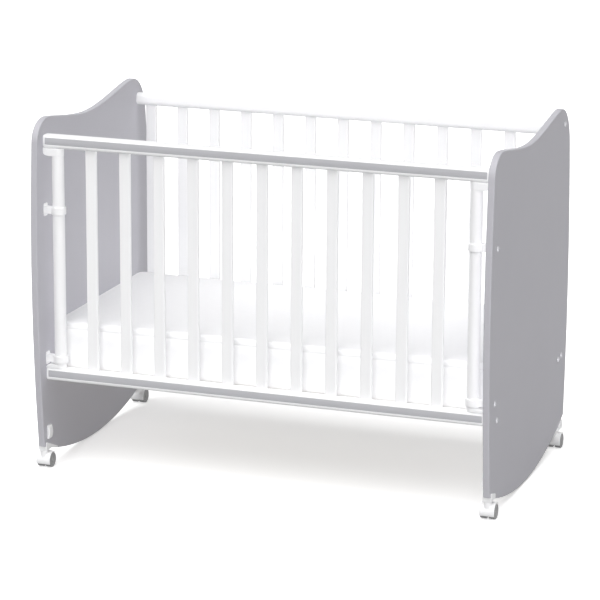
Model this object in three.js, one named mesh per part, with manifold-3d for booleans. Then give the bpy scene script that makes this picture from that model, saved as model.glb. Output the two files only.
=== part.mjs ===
// Crib with a drop side, two solid rocker ends and four twin-wheel casters.
// Millimetres, +Z up, +X to the right along the crib, -Y to the front, where the drop side is.
// The origin lies on the floor under the middle of the end panels. The drop side is shown raised.

import * as THREE from 'three';
import { mergeVertices } from 'three/addons/utils/BufferGeometryUtils.js';
import Module from 'manifold-3d';

const wasm = await Module();
wasm.setup();

// Mattress, which sets the length and the width of the crib
const mattressLength = 1204;
const mattressWidth = 592;
const mattressThickness = 129;
const mattressEndGap = 1;
const mattressRearGap = 4;
const mattressCornerRadius = 36;
const mattressEdgeRadius = 11;
const mattressCrown = 5;
const mattressDrawIn = 4;
const mattressSeamDepth = 1.6;
const mattressSeamWidth = 5;

// End panels
const panelThickness = 18;
const panelEdgeRadius = 3;
const frontSetback = 54;
const rearSetback = 76;
const crestRise = 43.5;
const shoulderDrop = 4.5;
const waveDip = 36;
const frontBow = 13;
const rearBow = 24;
const frontCornerWidth = 68;
const frontCornerDepth = 61;
const rearCornerWidth = 92;
const rearCornerDepth = 100;
const rockerClearance = 3.5;
const toeMargin = 6;
const heelMargin = 20;

// Rails and slats
const railHeight = 34;
const railDepth = 32;
const railEdgeRadius = 7;
const railEndGap = 3.5;
const railEndRadius = 3;
const stripeHeight = 17.5;
const stripeDepth = 3;
const stripeLowerLip = 9.5;
const stripeEndInset = 6;
const stripeCrown = 0.6;
const slatWidth = 30;
const slatThickness = 11;
const slatEdgeRadius = 3;
const slatTenon = 10;
const uprightCount = 13;

// Drop side
const gateUndersideHeight = 244.5;
const gateHeight = 657.5;
const gateLift = 3;
const liftClearance = 1;
const stopClearance = 0.5;
const postRadius = 15.75;
const postSpigotRadius = 9;
const postSpigotDepth = 14;
const postChamfer = 1;
const topHubHeight = 20;
const bottomHubHeight = 9.5;
const hubCornerWidth = 20;
const hubCornerDepth = 9.5;
const hubLip = 0.3;

// Guides and stops on the inner faces of the end panels
const guideFlangeWidth = 22;
const guideFlangeHeight = 34;
const guideFlangeCorner = 5;
const guideFlangeThickness = 3;
const guideArmLength = 16.5;
const guideArmWidth = 20;
const guideArmTipWidth = 17;
const guideRingHeight = 20;
const guideRingWall = 3.25;
const guideRimChamfer = 1.2;
const guideSlideGap = 0.5;
const guideMattressGap = 0.5;
const upperGuideSpare = 8;
const stopHeight = 36;
const stopReach = 8.5;
const stopTipReach = 5;
const stopWidth = 22;
const stopEdgeRadius = 2;
const stopShoeGap = 8;

// Fixed back
const backBottomRailHeight = 250;
const backRailEdgeRadius = 12;

// Base under the mattress
const baseHeight = 273;
const baseMatThickness = 12;
const baseMatInset = 6;
const baseMatEndGap = 2;
const baseRimWidth = 22;
const baseSlatCount = 14;
const baseSlatGap = 27;
const baseBearerWidth = 24;
const baseBearerHeight = 28;

// Casters
const wheelRadius = 20;
const wheelWidth = 16.5;
const wheelTreadRound = 2.5;
const wheelHubRadius = 6.5;
const wheelHubProud = 0.8;
const wheelDishRadius = 15.5;
const wheelDishDepth = 1.2;
const axleRadius = 3;
const casterTrail = 12;
const casterFrontSetback = 45;
const casterRearSetback = 73;
const hoodWall = 3;
const hoodGap = 0.8;
const hoodHeadroom = 5.7;
const hoodWebThickness = 5;
const hoodWebGap = 0.6;
const hoodFrontAngle = 22;
const hoodRearAngle = 125;
const hoodBossRadius = 6.5;
const swivelBossRadius = 10;
const swivelGap = 0.6;
const stemRadius = 4;
const stemLength = 24;
const stemTip = 1;
const stemBoreGap = 0.4;
const shoeSole = 3.13;
const shoeCheekThickness = 3;
const shoeCheekRise = 22.5;
const shoeCheekLength = 38;
const shoeCheekFall = 10;
const shoeInnerReach = 14;
const shoeFrontReach = 10;
const shoeRearReach = 40;
const shoeTongueLength = 70;
const shoeTongueTip = 5;
const shoeEdgeRadius = 4;

// Fits and facets
const seatGap = 0.3;
const mergeDistance = 0.0001;
const cutOverrun = 2;
const fineSegments = 24;
const wheelSegments = 20;
const mattressSegments = 80;

// Places that follow from the sizes above
const innerLength = mattressLength + 2 * mattressEndGap;
const panelInnerX = innerLength / 2;
const panelMiddleX = panelInnerX + panelThickness / 2;
const ringInnerRadius = postRadius + guideSlideGap;
const ringOuterRadius = ringInnerRadius + guideRingWall;
const mattressFrontGap = ringOuterRadius + guideMattressGap - railDepth / 2;
const railGap = mattressFrontGap + mattressWidth + mattressRearGap;
const panelDepth = frontSetback + railDepth + railGap + rearSetback;
const gateY = frontSetback - panelDepth / 2;
const backY = gateY + railDepth + railGap;
const mattressY = gateY + railDepth / 2 + mattressFrontGap + mattressWidth / 2;
const gateTop = gateUndersideHeight + gateHeight;
const topRailUnderside = gateTop - railHeight;
const backTopRailHeight = gateTop - railHeight / 2;
const bottomRailTop = gateUndersideHeight + railHeight;
const crestHeight = gateTop + crestRise;
const postX = panelInnerX - guideFlangeThickness - guideArmLength - ringOuterRadius;
const uprightPitch = (2 * postX) / (uprightCount - 1);
const gateRailLength = innerLength - 2 * railEndGap;
const topHubUnderside = topRailUnderside - seatGap - topHubHeight;
const bottomHubTop = bottomRailTop + seatGap + bottomHubHeight;
const shoeSeatHeight = 2 * wheelRadius + hoodGap + hoodWall + hoodHeadroom;
const shoeCheekHeight = shoeSeatHeight + shoeCheekRise;
const stopTop = shoeCheekHeight + stopShoeGap + stopHeight;
const gateTravel = gateUndersideHeight - stopTop - stopClearance;
const lowerGuideHeight = bottomHubTop + gateLift + liftClearance + guideRingHeight / 2;
const upperGuideHeight = topHubUnderside - gateTravel - upperGuideSpare - guideRingHeight / 2;
const casterReach = (panelDepth - casterFrontSetback - casterRearSetback) / 2;
const boreRadius = stemRadius + stemBoreGap;

// The rocker arc rises from its clearance to the shoes' soles within the casters' reach
const rockerY = (casterFrontSetback - casterRearSetback) / 2;
const rockerReach = casterReach - shoeInnerReach;
const rockerRise = shoeSeatHeight + shoeSole - rockerClearance;
const rockerRadius = (rockerReach ** 2 + rockerRise ** 2) / (2 * rockerRise);
const rockerCentreHeight = rockerClearance + rockerRadius;

// Front and rear casters stand at the ends of their reach; the shoes begin further out
const casterEnds = [
  { name: 'front', side: -1, stemY: rockerY - casterReach, shoeY: rockerY - casterReach - shoeFrontReach },
  { name: 'rear', side: 1, stemY: rockerY + casterReach, shoeY: rockerY + casterReach + shoeRearReach },
];
const stemTopHeight = shoeSeatHeight - swivelGap + stemLength;
const sides = [{ name: 'left', sign: -1 }, { name: 'right', sign: 1 }];

// Materials
const panelLacquer = new THREE.MeshStandardMaterial({ color: 0xa6a5aa, roughness: 0.5, metalness: 0 });
const whiteLacquer = new THREE.MeshStandardMaterial({ color: 0xf4f4f5, roughness: 0.45, metalness: 0 });
const greyInlay = new THREE.MeshStandardMaterial({ color: 0xb6b6ba, roughness: 0.5, metalness: 0 });
const whitePlastic = new THREE.MeshStandardMaterial({ color: 0xf2f2f3, roughness: 0.4, metalness: 0 });
const bareBeech = new THREE.MeshStandardMaterial({ color: 0xd9c3a0, roughness: 0.7, metalness: 0 });
const mattressCover = new THREE.MeshStandardMaterial({ color: 0xececee, roughness: 0.9, metalness: 0 });
const wheelPlastic = new THREE.MeshStandardMaterial({ color: 0x8c8c8c, roughness: 0.6, metalness: 0 });

const group = new THREE.Group();

// Adds one named piece to the crib
function addPiece(name, geometry, material, place = [0, 0, 0]) {
  const mesh = new THREE.Mesh(geometry, material);
  mesh.name = name;
  mesh.position.set(...place);
  group.add(mesh);
}

// Turns a closed geometry into a solid that can be joined and cut
function toSolid(geometry) {
  const bare = geometry.clone();
  bare.deleteAttribute('normal');
  bare.deleteAttribute('uv');
  const merged = mergeVertices(bare, mergeDistance);
  const corners = Array.from(merged.index.array);
  const kept = [];
  for (let i = 0; i < corners.length; i += 3) {
    const [a, b, c] = corners.slice(i, i + 3);
    if (a !== b && b !== c && c !== a) kept.push(a, b, c);
  }
  return new wasm.Manifold(new wasm.Mesh({
    numProp: 3,
    vertProperties: new Float32Array(merged.attributes.position.array),
    triVerts: new Uint32Array(kept),
  }));
}

// Turns a solid back into a geometry
function toGeometry(solid) {
  const mesh = solid.getMesh();
  const indexed = new THREE.BufferGeometry();
  indexed.setAttribute('position', new THREE.BufferAttribute(new Float32Array(mesh.vertProperties), 3));
  indexed.setIndex(new THREE.BufferAttribute(new Uint32Array(mesh.triVerts), 1));
  const geometry = indexed.toNonIndexed();
  geometry.computeVertexNormals();
  return geometry;
}

// Joins several closed geometries into one
function join(...geometries) {
  return toGeometry(geometries.map(toSolid).reduce((sum, next) => sum.add(next)));
}

// Cuts every tool out of a closed geometry
function cut(body, ...tools) {
  return toGeometry(tools.map(toSolid).reduce((rest, tool) => rest.subtract(tool), toSolid(body)));
}

// Keeps what two closed geometries have in common
function common(first, second) {
  return toGeometry(toSolid(first).intersect(toSolid(second)));
}

// A rectangle with rounded corners, centred on the origin
function roundedRectangle(width, height, radius) {
  const x = width / 2;
  const y = height / 2;
  const shape = new THREE.Shape();
  shape.moveTo(radius - x, -y);
  shape.lineTo(x - radius, -y);
  shape.quadraticCurveTo(x, -y, x, radius - y);
  shape.lineTo(x, y - radius);
  shape.quadraticCurveTo(x, y, x - radius, y);
  shape.lineTo(radius - x, y);
  shape.quadraticCurveTo(-x, y, -x, y - radius);
  shape.lineTo(-x, radius - y);
  shape.quadraticCurveTo(-x, -y, radius - x, -y);
  return shape;
}

// Extrudes a shape by a length, centred on its plane, with its edges rounded by a radius
function slab(shape, length, edgeRadius, curveSegments) {
  const rounded = edgeRadius > 0;
  const geometry = new THREE.ExtrudeGeometry(shape, {
    depth: length - 2 * edgeRadius,
    bevelEnabled: rounded,
    bevelThickness: edgeRadius,
    bevelSize: edgeRadius,
    bevelOffset: -edgeRadius,
    bevelSegments: 2,
    curveSegments,
  });
  geometry.translate(0, 0, edgeRadius - length / 2);
  return geometry;
}

// Turns a slab so that its shape lies in the YZ plane and its length along X
function alongX(geometry) {
  return geometry.rotateX(Math.PI / 2).rotateZ(Math.PI / 2);
}

// Turns a slab so that its shape lies in the XZ plane and its length along Y
function alongY(geometry) {
  return geometry.rotateX(Math.PI / 2);
}

// A cylinder with its axis along X
function discAlongX(radius, length, segments) {
  return new THREE.CylinderGeometry(radius, radius, length, segments).rotateZ(Math.PI / 2);
}

// A cylinder with its axis along Z, standing from one height to another
function standingRod(radius, low, high, segments) {
  const rod = new THREE.CylinderGeometry(radius, radius, high - low, segments);
  return rod.rotateX(Math.PI / 2).translate(0, 0, (low + high) / 2);
}

// Height of the rocker arc over the floor at a place along the depth
function rockerHeight(y) {
  return rockerCentreHeight - Math.sqrt(rockerRadius ** 2 - (y - rockerY) ** 2);
}

// Angle on the rocker arc, seen from its centre, at a place along the depth
function rockerAngle(y, radius) {
  return Math.atan2(-Math.sqrt(radius ** 2 - (y - rockerY) ** 2), y - rockerY);
}

// Shape of an end panel, seen from the right: its depth across and its height upwards
function panelOutline() {
  const frontY = -panelDepth / 2;
  const rearY = panelDepth / 2;
  const shoulderHeight = crestHeight - shoulderDrop;
  const dipHeight = crestHeight - waveDip;
  const bellyShare = 0.577;
  const backBellyShare = 0.426;
  const dipShare = 0.46;
  const easeShare = 0.37;
  const crestEaseShare = 0.2;
  const shoulderEaseShare = 0.15;
  const frontTop = [frontY + frontBow, shoulderHeight - frontCornerDepth];
  const rearTop = [rearY - rearBow, crestHeight - rearCornerDepth];
  const shoulderY = frontTop[0] + frontCornerWidth;
  const crestY = rearTop[0] - rearCornerWidth;
  const dipY = frontY + dipShare * panelDepth;
  const bellyHeight = bellyShare * crestHeight;
  const backBellyHeight = backBellyShare * crestHeight;
  const toeY = casterEnds[0].shoeY - toeMargin;
  const heelY = casterEnds[1].shoeY + heelMargin;
  const shape = new THREE.Shape();
  shape.moveTo(toeY, rockerHeight(toeY));
  shape.absarc(
    rockerY, rockerCentreHeight, rockerRadius,
    rockerAngle(toeY, rockerRadius), rockerAngle(heelY, rockerRadius), false,
  );
  shape.quadraticCurveTo(rearY, (rockerHeight(heelY) + backBellyHeight) / 2, rearY, backBellyHeight);
  shape.quadraticCurveTo(rearY, (rearTop[1] + backBellyHeight) / 2, rearTop[0], rearTop[1]);
  shape.bezierCurveTo(
    rearTop[0] - rearBow * easeShare, crestHeight - rearCornerDepth * easeShare,
    rearTop[0] - rearCornerWidth / 2, crestHeight, crestY, crestHeight,
  );
  shape.bezierCurveTo(
    crestY - (crestY - dipY) * crestEaseShare, crestHeight,
    dipY + (crestY - dipY) * easeShare, dipHeight, dipY, dipHeight,
  );
  shape.bezierCurveTo(
    dipY - (dipY - shoulderY) * easeShare, dipHeight,
    shoulderY + (dipY - shoulderY) * shoulderEaseShare, shoulderHeight, shoulderY, shoulderHeight,
  );
  shape.bezierCurveTo(
    shoulderY - frontCornerWidth / 2, shoulderHeight,
    frontTop[0], shoulderHeight - frontCornerDepth * easeShare, frontTop[0], frontTop[1],
  );
  shape.quadraticCurveTo(frontY, (frontTop[1] + bellyHeight) / 2, frontY, bellyHeight);
  shape.quadraticCurveTo(frontY, (rockerHeight(toeY) + bellyHeight) / 2, toeY, rockerHeight(toeY));
  return shape;
}

// End panel with a bore for each caster stem
function endPanelGeometry() {
  const panel = alongX(slab(panelOutline(), panelThickness, panelEdgeRadius, 8));
  const bores = casterEnds.map((end) => {
    const low = rockerHeight(end.stemY) - cutOverrun * 2;
    const high = stemTopHeight + stemTip;
    return standingRod(boreRadius, low, high, fineSegments / 2).translate(0, end.stemY, 0);
  });
  return cut(panel, ...bores);
}

// Gate rail with its pocket for the stripe, its mortises and its spigot holes on one side
function gateRailGeometry(openSide) {
  const section = roundedRectangle(railDepth, railHeight, railEdgeRadius);
  const rail = alongX(slab(section, gateRailLength, railEndRadius, 3));
  const pocketLength = gateRailLength - 2 * stripeEndInset;
  const pocketHeight = stripeHeight + 2 * seatGap;
  const pocketDepth = stripeDepth + cutOverrun;
  const pocket = new THREE.BoxGeometry(pocketLength, pocketDepth, pocketHeight);
  const pocketY = stripeDepth - (railDepth + pocketDepth) / 2;
  pocket.translate(0, pocketY, stripeLowerLip + (stripeHeight - railHeight) / 2);
  const mortises = gateSlatPlaces().map((x) => mortise(x, 0, openSide));
  const holes = [-postX, postX].map((x) => {
    const deep = openSide * (railHeight / 2 - postSpigotDepth - seatGap);
    const open = openSide * (railHeight / 2 + cutOverrun);
    const low = Math.min(deep, open);
    const high = Math.max(deep, open);
    return standingRod(postSpigotRadius + seatGap, low, high, fineSegments).translate(x, 0, 0);
  });
  return cut(rail, pocket, ...mortises, ...holes);
}

// Mortise for one slat in the top or the bottom face of a rail
function mortise(x, y, openSide) {
  const depth = slatTenon + seatGap + cutOverrun;
  const box = new THREE.BoxGeometry(slatWidth + 2 * seatGap, slatThickness + 2 * seatGap, depth);
  return box.translate(x, y, openSide * (railHeight / 2 + cutOverrun - depth / 2));
}

// Stripe that lies in the pocket of a gate rail, its face slightly crowned
function stripeGeometry() {
  const length = gateRailLength - 2 * stripeEndInset - 2 * seatGap;
  const half = stripeHeight / 2;
  const shape = new THREE.Shape();
  shape.moveTo(0, -half);
  shape.lineTo(0, half);
  shape.lineTo(-stripeDepth, half);
  shape.quadraticCurveTo(-stripeDepth - stripeCrown, 0, -stripeDepth, -half);
  shape.closePath();
  return alongX(slab(shape, length, 0, 4));
}

// Places of the gate slats along X, between the two posts
function gateSlatPlaces() {
  const places = [];
  for (let i = 1; i < uprightCount - 1; i += 1) places.push(i * uprightPitch - postX);
  return places;
}

// Places of the back slats along X
function backSlatPlaces() {
  const places = [];
  for (let i = 0; i < uprightCount; i += 1) places.push(i * uprightPitch - postX);
  return places;
}

// Flat slat with eased long edges, standing on the origin
function slatGeometry(length) {
  const section = roundedRectangle(slatWidth, slatThickness, slatEdgeRadius);
  return slab(section, length, 0, 2).translate(0, 0, length / 2);
}

// Hub between a gate rail and a post, half round towards the slats and with a rounded corner at
// the rail's end; side is -1 left, 1 right, and rise is 1 above a rail, -1 below it
function hubGeometry(height, side, rise) {
  const end = gateRailLength / 2 - postX;
  const radius = postRadius + hubLip;
  const plan = new THREE.Shape();
  plan.moveTo(0, -radius);
  plan.lineTo(end, -radius);
  plan.lineTo(end, radius);
  plan.lineTo(0, radius);
  plan.absarc(0, 0, radius, Math.PI / 2, Math.PI * 1.5, false);
  const column = slab(plan, height, 0, fineSegments / 2).translate(0, 0, -height / 2);
  const corner = Math.min(hubCornerDepth, height);
  const front = new THREE.Shape();
  front.moveTo(-radius - cutOverrun, cutOverrun);
  front.lineTo(end, cutOverrun);
  front.lineTo(end, corner - height);
  front.quadraticCurveTo(end, -height, end - hubCornerWidth, -height);
  front.lineTo(-radius - cutOverrun, -height);
  front.closePath();
  const block = common(column, alongY(slab(front, railDepth + cutOverrun, 0, 6)));
  if (rise > 0) block.rotateX(Math.PI);
  if (side < 0) block.rotateZ(Math.PI);
  const reach = height + cutOverrun;
  return cut(block, standingRod(postSpigotRadius + seatGap, -reach, reach, fineSegments));
}

// Round post with a spigot at each end that passes through a hub into a rail
function postGeometry() {
  const low = bottomHubTop + seatGap;
  const high = topHubUnderside - seatGap;
  const lowest = bottomRailTop - postSpigotDepth;
  const highest = topRailUnderside + postSpigotDepth;
  const profile = [
    [0, lowest], [postSpigotRadius, lowest], [postSpigotRadius, low],
    [postRadius - postChamfer, low], [postRadius, low + postChamfer],
    [postRadius, high - postChamfer], [postRadius - postChamfer, high],
    [postSpigotRadius, high], [postSpigotRadius, highest], [0, highest],
  ];
  const points = profile.map(([r, z]) => new THREE.Vector2(r, z));
  return new THREE.LatheGeometry(points, fineSegments).rotateX(Math.PI / 2);
}

// Guide bracket for a post on the left panel: oblong flange on the panel, arm, and ring round the post
function guideGeometry() {
  const flangeX = postX - panelInnerX + seatGap + guideFlangeThickness / 2;
  const face = roundedRectangle(guideFlangeWidth, guideFlangeHeight, guideFlangeCorner);
  const flange = alongX(slab(face, guideFlangeThickness, 0, 4));
  flange.translate(flangeX, 0, 0);
  const armStart = flangeX;
  const armEnd = -ringInnerRadius - guideRingWall / 2;
  const plan = new THREE.Shape();
  plan.moveTo(armStart, -guideArmWidth / 2);
  plan.quadraticCurveTo((armStart + armEnd) / 2, -guideArmTipWidth / 2, armEnd, -guideArmTipWidth / 2);
  plan.lineTo(armEnd, guideArmTipWidth / 2);
  plan.quadraticCurveTo((armStart + armEnd) / 2, guideArmTipWidth / 2, armStart, guideArmWidth / 2);
  plan.closePath();
  const arm = slab(plan, guideRingHeight - guideRimChamfer, 0, 4);
  const half = guideRingHeight / 2;
  const chamferedRadius = ringOuterRadius - guideRimChamfer;
  const profile = [
    [0, -half], [chamferedRadius, -half], [ringOuterRadius, guideRimChamfer - half],
    [ringOuterRadius, half - guideRimChamfer], [chamferedRadius, half], [0, half],
  ];
  const points = profile.map(([r, z]) => new THREE.Vector2(r, z));
  const barrel = new THREE.LatheGeometry(points, fineSegments).rotateX(Math.PI / 2);
  const bore = standingRod(ringInnerRadius, -half - cutOverrun, half + cutOverrun, fineSegments);
  return cut(join(flange, arm, barrel), bore);
}

// Stop block for the lowered gate on the left panel, full in the middle and drawn in at both ends
function stopGeometry() {
  const bulgeShare = 0.45;
  const bulge = stopHeight * bulgeShare;
  const shape = new THREE.Shape();
  shape.moveTo(0, 0);
  shape.lineTo(stopTipReach, 0);
  shape.quadraticCurveTo(stopReach, bulge / 2, stopReach, bulge);
  shape.quadraticCurveTo(stopReach, (stopHeight + bulge) / 2, stopTipReach, stopHeight);
  shape.lineTo(0, stopHeight);
  shape.closePath();
  return alongY(slab(shape, stopWidth, stopEdgeRadius, 4));
}

// Rail of the fixed back, with mortises on one side
function backRailGeometry(openSide) {
  const section = roundedRectangle(railDepth, railHeight, backRailEdgeRadius);
  const rail = alongX(slab(section, innerLength - 2 * seatGap, 0, 4));
  return cut(rail, ...backSlatPlaces().map((x) => mortise(x, 0, openSide)));
}

// Slatted mat under the mattress: one board with an opening between each two cross slats
function baseMatGeometry() {
  const length = innerLength - 2 * baseMatEndGap;
  const width = mattressWidth - 2 * baseMatInset;
  const pitch = (length + baseSlatGap) / baseSlatCount;
  const board = new THREE.BoxGeometry(length, width, baseMatThickness);
  const openings = [];
  for (let i = 1; i < baseSlatCount; i += 1) {
    const opening = new THREE.BoxGeometry(
      baseSlatGap, width - 2 * baseRimWidth, baseMatThickness + 2 * cutOverrun,
    );
    openings.push(opening.translate(i * pitch - (length + baseSlatGap) / 2, 0, 0));
  }
  return cut(board, ...openings);
}

// Bearer under the mat, bolted between the end panels
function bearerGeometry() {
  const section = roundedRectangle(baseBearerWidth, baseBearerHeight, panelEdgeRadius);
  return alongX(slab(section, innerLength - 2 * seatGap, 0, 2));
}

// Outline point of the mattress at a share of its way round, drawn in between its corners
function mattressRim(share, inset, drawIn) {
  const x = mattressLength / 2 - inset;
  const y = mattressWidth / 2 - inset;
  const radius = mattressCornerRadius - Math.min(inset, mattressEdgeRadius);
  const quarter = Math.floor(share * 4) % 4;
  const within = share * 4 - Math.floor(share * 4);
  const cornerShare = 0.3;
  const signs = [[1, -1], [1, 1], [-1, 1], [-1, -1]][quarter];
  const next = [[1, 1], [-1, 1], [-1, -1], [1, -1]][quarter];
  if (within < cornerShare) {
    const angle = (quarter - 1 + within / cornerShare) * (Math.PI / 2);
    return [
      signs[0] * (x - radius) + radius * Math.cos(angle),
      signs[1] * (y - radius) + radius * Math.sin(angle),
    ];
  }
  const along = (within - cornerShare) / (1 - cornerShare);
  const pull = drawIn * Math.sin(Math.PI * along);
  if (quarter % 2 === 0) {
    const side = signs[0] * (x - pull);
    const start = signs[1] * (y - radius);
    const stop = next[1] * (y - radius);
    return [side, start + (stop - start) * along];
  }
  const side = signs[1] * (y - pull);
  const start = signs[0] * (x - radius);
  const stop = next[0] * (x - radius);
  return [start + (stop - start) * along, side];
}

// Mattress as rings from the middle of its underside, round its edges, to the middle of its top
function mattressGeometry() {
  const edge = mattressEdgeRadius;
  const top = mattressThickness - mattressCrown;
  const seam = mattressSeamDepth;
  const half = mattressSeamWidth / 2;
  const easeInShare = 0.3;
  const seamDrawShare = 0.3;
  const soleShare = 0.5;
  const coverShares = [0.86, 0.6, 0.3];
  const easeIn = edge * easeInShare;
  const lowSeam = edge + half;
  const highSeam = top - edge - half;
  const rings = [
    [soleShare, edge, 0, 0], [1, edge, 0, 0], [1, easeIn, easeIn, 0],
    [1, 0, lowSeam - half, 0], [1, seam, lowSeam, 0], [1, 0, lowSeam + half, seamDrawShare],
    [1, 0, top / 2, 1],
    [1, 0, highSeam - half, seamDrawShare], [1, seam, highSeam, 0], [1, 0, highSeam + half, 0],
    [1, easeIn, top - easeIn, 0], [1, edge, top, 0],
  ];
  for (const coverShare of coverShares) rings.push([coverShare, edge, top, 0]);
  const positions = [0, 0, 0];
  const halfX = mattressLength / 2;
  const halfY = mattressWidth / 2;
  for (const [scale, inset, height, drawn] of rings) {
    for (let i = 0; i < mattressSegments; i += 1) {
      const [x, y] = mattressRim(i / mattressSegments, inset, drawn * mattressDrawIn);
      const crown = height < top ? 0 : (1 - (scale * x / halfX) ** 4) * (1 - (scale * y / halfY) ** 4);
      positions.push(scale * x, scale * y, height + crown * mattressCrown);
    }
  }
  positions.push(0, 0, mattressThickness);
  const index = [];
  const last = rings.length * mattressSegments + 1;
  for (let i = 0; i < mattressSegments; i += 1) {
    const j = (i + 1) % mattressSegments;
    index.push(0, 1 + j, 1 + i);
    for (let k = 0; k < rings.length - 1; k += 1) {
      const low = 1 + k * mattressSegments;
      const high = low + mattressSegments;
      index.push(low + i, low + j, high + j, low + i, high + j, high + i);
    }
    const ring = last - mattressSegments;
    index.push(ring + i, ring + j, last);
  }
  const geometry = new THREE.BufferGeometry();
  geometry.setAttribute('position', new THREE.Float32BufferAttribute(positions, 3));
  geometry.setIndex(index);
  geometry.computeVertexNormals();
  return geometry;
}

// Pair of wheels on one axle, turning about X at the origin, with a flat of the tread on the floor
function wheelPairGeometry() {
  const tread = wheelRadius / Math.cos(Math.PI / wheelSegments);
  const inner = hoodWebThickness / 2 + hoodWebGap;
  const outer = inner + wheelWidth;
  const dish = outer - wheelDishDepth;
  const half = [
    [axleRadius, inner], [tread - wheelTreadRound / 2, inner],
    [tread, inner + wheelTreadRound / 2], [tread, outer - wheelTreadRound],
    [tread - wheelTreadRound, outer],
    [wheelDishRadius, outer], [wheelDishRadius - wheelDishDepth, dish],
    [wheelHubRadius, dish], [wheelHubRadius, outer + wheelHubProud], [0, outer + wheelHubProud],
  ];
  const mirrored = half.map(([r, x]) => [r, -x]).reverse();
  const points = [...mirrored, ...half].map(([r, x]) => new THREE.Vector2(r, x));
  const wheels = new THREE.LatheGeometry(points, wheelSegments).rotateZ(-Math.PI / 2);
  return wheels.rotateX(Math.PI + Math.PI / wheelSegments);
}

// Hood over a pair of wheels, with its web, axle boss, swivel boss and stem; the axle is the origin
function hoodGeometry() {
  const inner = wheelRadius + hoodGap;
  const outer = inner + hoodWall;
  const half = hoodWebThickness / 2 + hoodWebGap + wheelWidth;
  const start = THREE.MathUtils.degToRad(180 - hoodRearAngle);
  const end = THREE.MathUtils.degToRad(180 + hoodFrontAngle);
  const sector = new THREE.Shape();
  sector.moveTo(0, 0);
  sector.lineTo(outer * Math.cos(start), outer * Math.sin(start));
  sector.absarc(0, 0, outer, start, end, false);
  sector.closePath();
  const blank = alongX(slab(sector, 2 * half, 0, 9));
  const bossTop = shoeSeatHeight - swivelGap - wheelRadius;
  const boss = standingRod(swivelBossRadius, 0, bossTop, fineSegments).translate(0, -casterTrail, 0);
  const stem = standingRod(stemRadius, 0, bossTop + stemLength, fineSegments / 2);
  stem.translate(0, -casterTrail, 0);
  const axleBoss = discAlongX(hoodBossRadius, hoodWebThickness, fineSegments / 2);
  const space = half - hoodWebThickness / 2 + cutOverrun;
  const wheelSpaces = [-1, 1].map((side) => {
    const room = discAlongX(inner, space, fineSegments * 2);
    return room.translate(side * (hoodWebThickness / 2 + space / 2), 0, 0);
  });
  const bore = discAlongX(axleRadius + seatGap, hoodWebThickness + 2 * cutOverrun, fineSegments / 2);
  return cut(join(blank, boss, stem, axleBoss), ...wheelSpaces, bore);
}

// Outline of a shoe's block or cheek under the rocker arc, from its outer end inwards
function shoeBlockShape(end) {
  const arc = rockerRadius + seatGap;
  const outerY = end.shoeY;
  const innerY = end.stemY - end.side * shoeInnerReach;
  const shape = new THREE.Shape();
  shape.moveTo(outerY, shoeSeatHeight);
  shape.lineTo(innerY, shoeSeatHeight);
  shape.lineTo(innerY, rockerCentreHeight + arc * Math.sin(rockerAngle(innerY, arc)));
  shape.absarc(
    rockerY, rockerCentreHeight, arc, rockerAngle(innerY, arc), rockerAngle(outerY, arc), end.side < 0,
  );
  shape.closePath();
  return shape;
}

// Short cheek on the outer face of the panel, its top falling inwards
function outerCheekShape(end) {
  const inwards = -end.side;
  const farY = end.shoeY + inwards * shoeCheekLength;
  const shape = new THREE.Shape();
  shape.moveTo(end.shoeY, shoeSeatHeight);
  shape.lineTo(farY, shoeSeatHeight);
  shape.lineTo(farY, shoeCheekHeight - shoeCheekFall);
  shape.lineTo(end.shoeY + inwards * shoeEdgeRadius, shoeCheekHeight);
  shape.quadraticCurveTo(end.shoeY, shoeCheekHeight, end.shoeY, shoeCheekHeight - shoeEdgeRadius);
  shape.closePath();
  return shape;
}

// Long cheek on the inner face, which tapers to a tongue along the rocker arc
function innerCheekShape(end) {
  const inwards = -end.side;
  const tipY = end.shoeY + inwards * shoeTongueLength;
  const seatY = end.stemY + inwards * shoeInnerReach;
  const shape = new THREE.Shape();
  shape.moveTo(end.shoeY, shoeSeatHeight);
  shape.lineTo(seatY, shoeSeatHeight);
  shape.lineTo(tipY, rockerHeight(tipY));
  shape.lineTo(tipY, rockerHeight(tipY) + shoeTongueTip);
  shape.lineTo(end.shoeY + inwards * shoeEdgeRadius, shoeCheekHeight);
  shape.quadraticCurveTo(end.shoeY, shoeCheekHeight, end.shoeY, shoeCheekHeight - shoeEdgeRadius);
  shape.closePath();
  return shape;
}

// Shoe that straddles a lower corner of an end panel and carries a caster; side is -1 left, 1 right
function shoeGeometry(end, side) {
  const faceX = panelThickness / 2 + seatGap;
  const cheekX = faceX + shoeCheekThickness / 2;
  const block = alongX(slab(shoeBlockShape(end), 2 * faceX + shoeCheekThickness, 0, 3));
  const outer = alongX(slab(outerCheekShape(end), shoeCheekThickness, 0, 3)).translate(side * cheekX, 0, 0);
  const inner = alongX(slab(innerCheekShape(end), shoeCheekThickness, 0, 3)).translate(-side * cheekX, 0, 0);
  const bore = standingRod(boreRadius, shoeSeatHeight - cutOverrun, shoeCheekHeight, fineSegments / 2);
  bore.translate(0, end.stemY, 0);
  return cut(join(block, outer, inner), bore);
}

// Two-digit number for the name of a slat
function numbered(name, index) {
  return `${name}_${String(index + 1).padStart(2, '0')}`;
}

// End panels
const endPanel = endPanelGeometry();
for (const side of sides) {
  addPiece(`end_panel_${side.name}`, endPanel, panelLacquer, [side.sign * panelMiddleX, 0, 0]);
}

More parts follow.
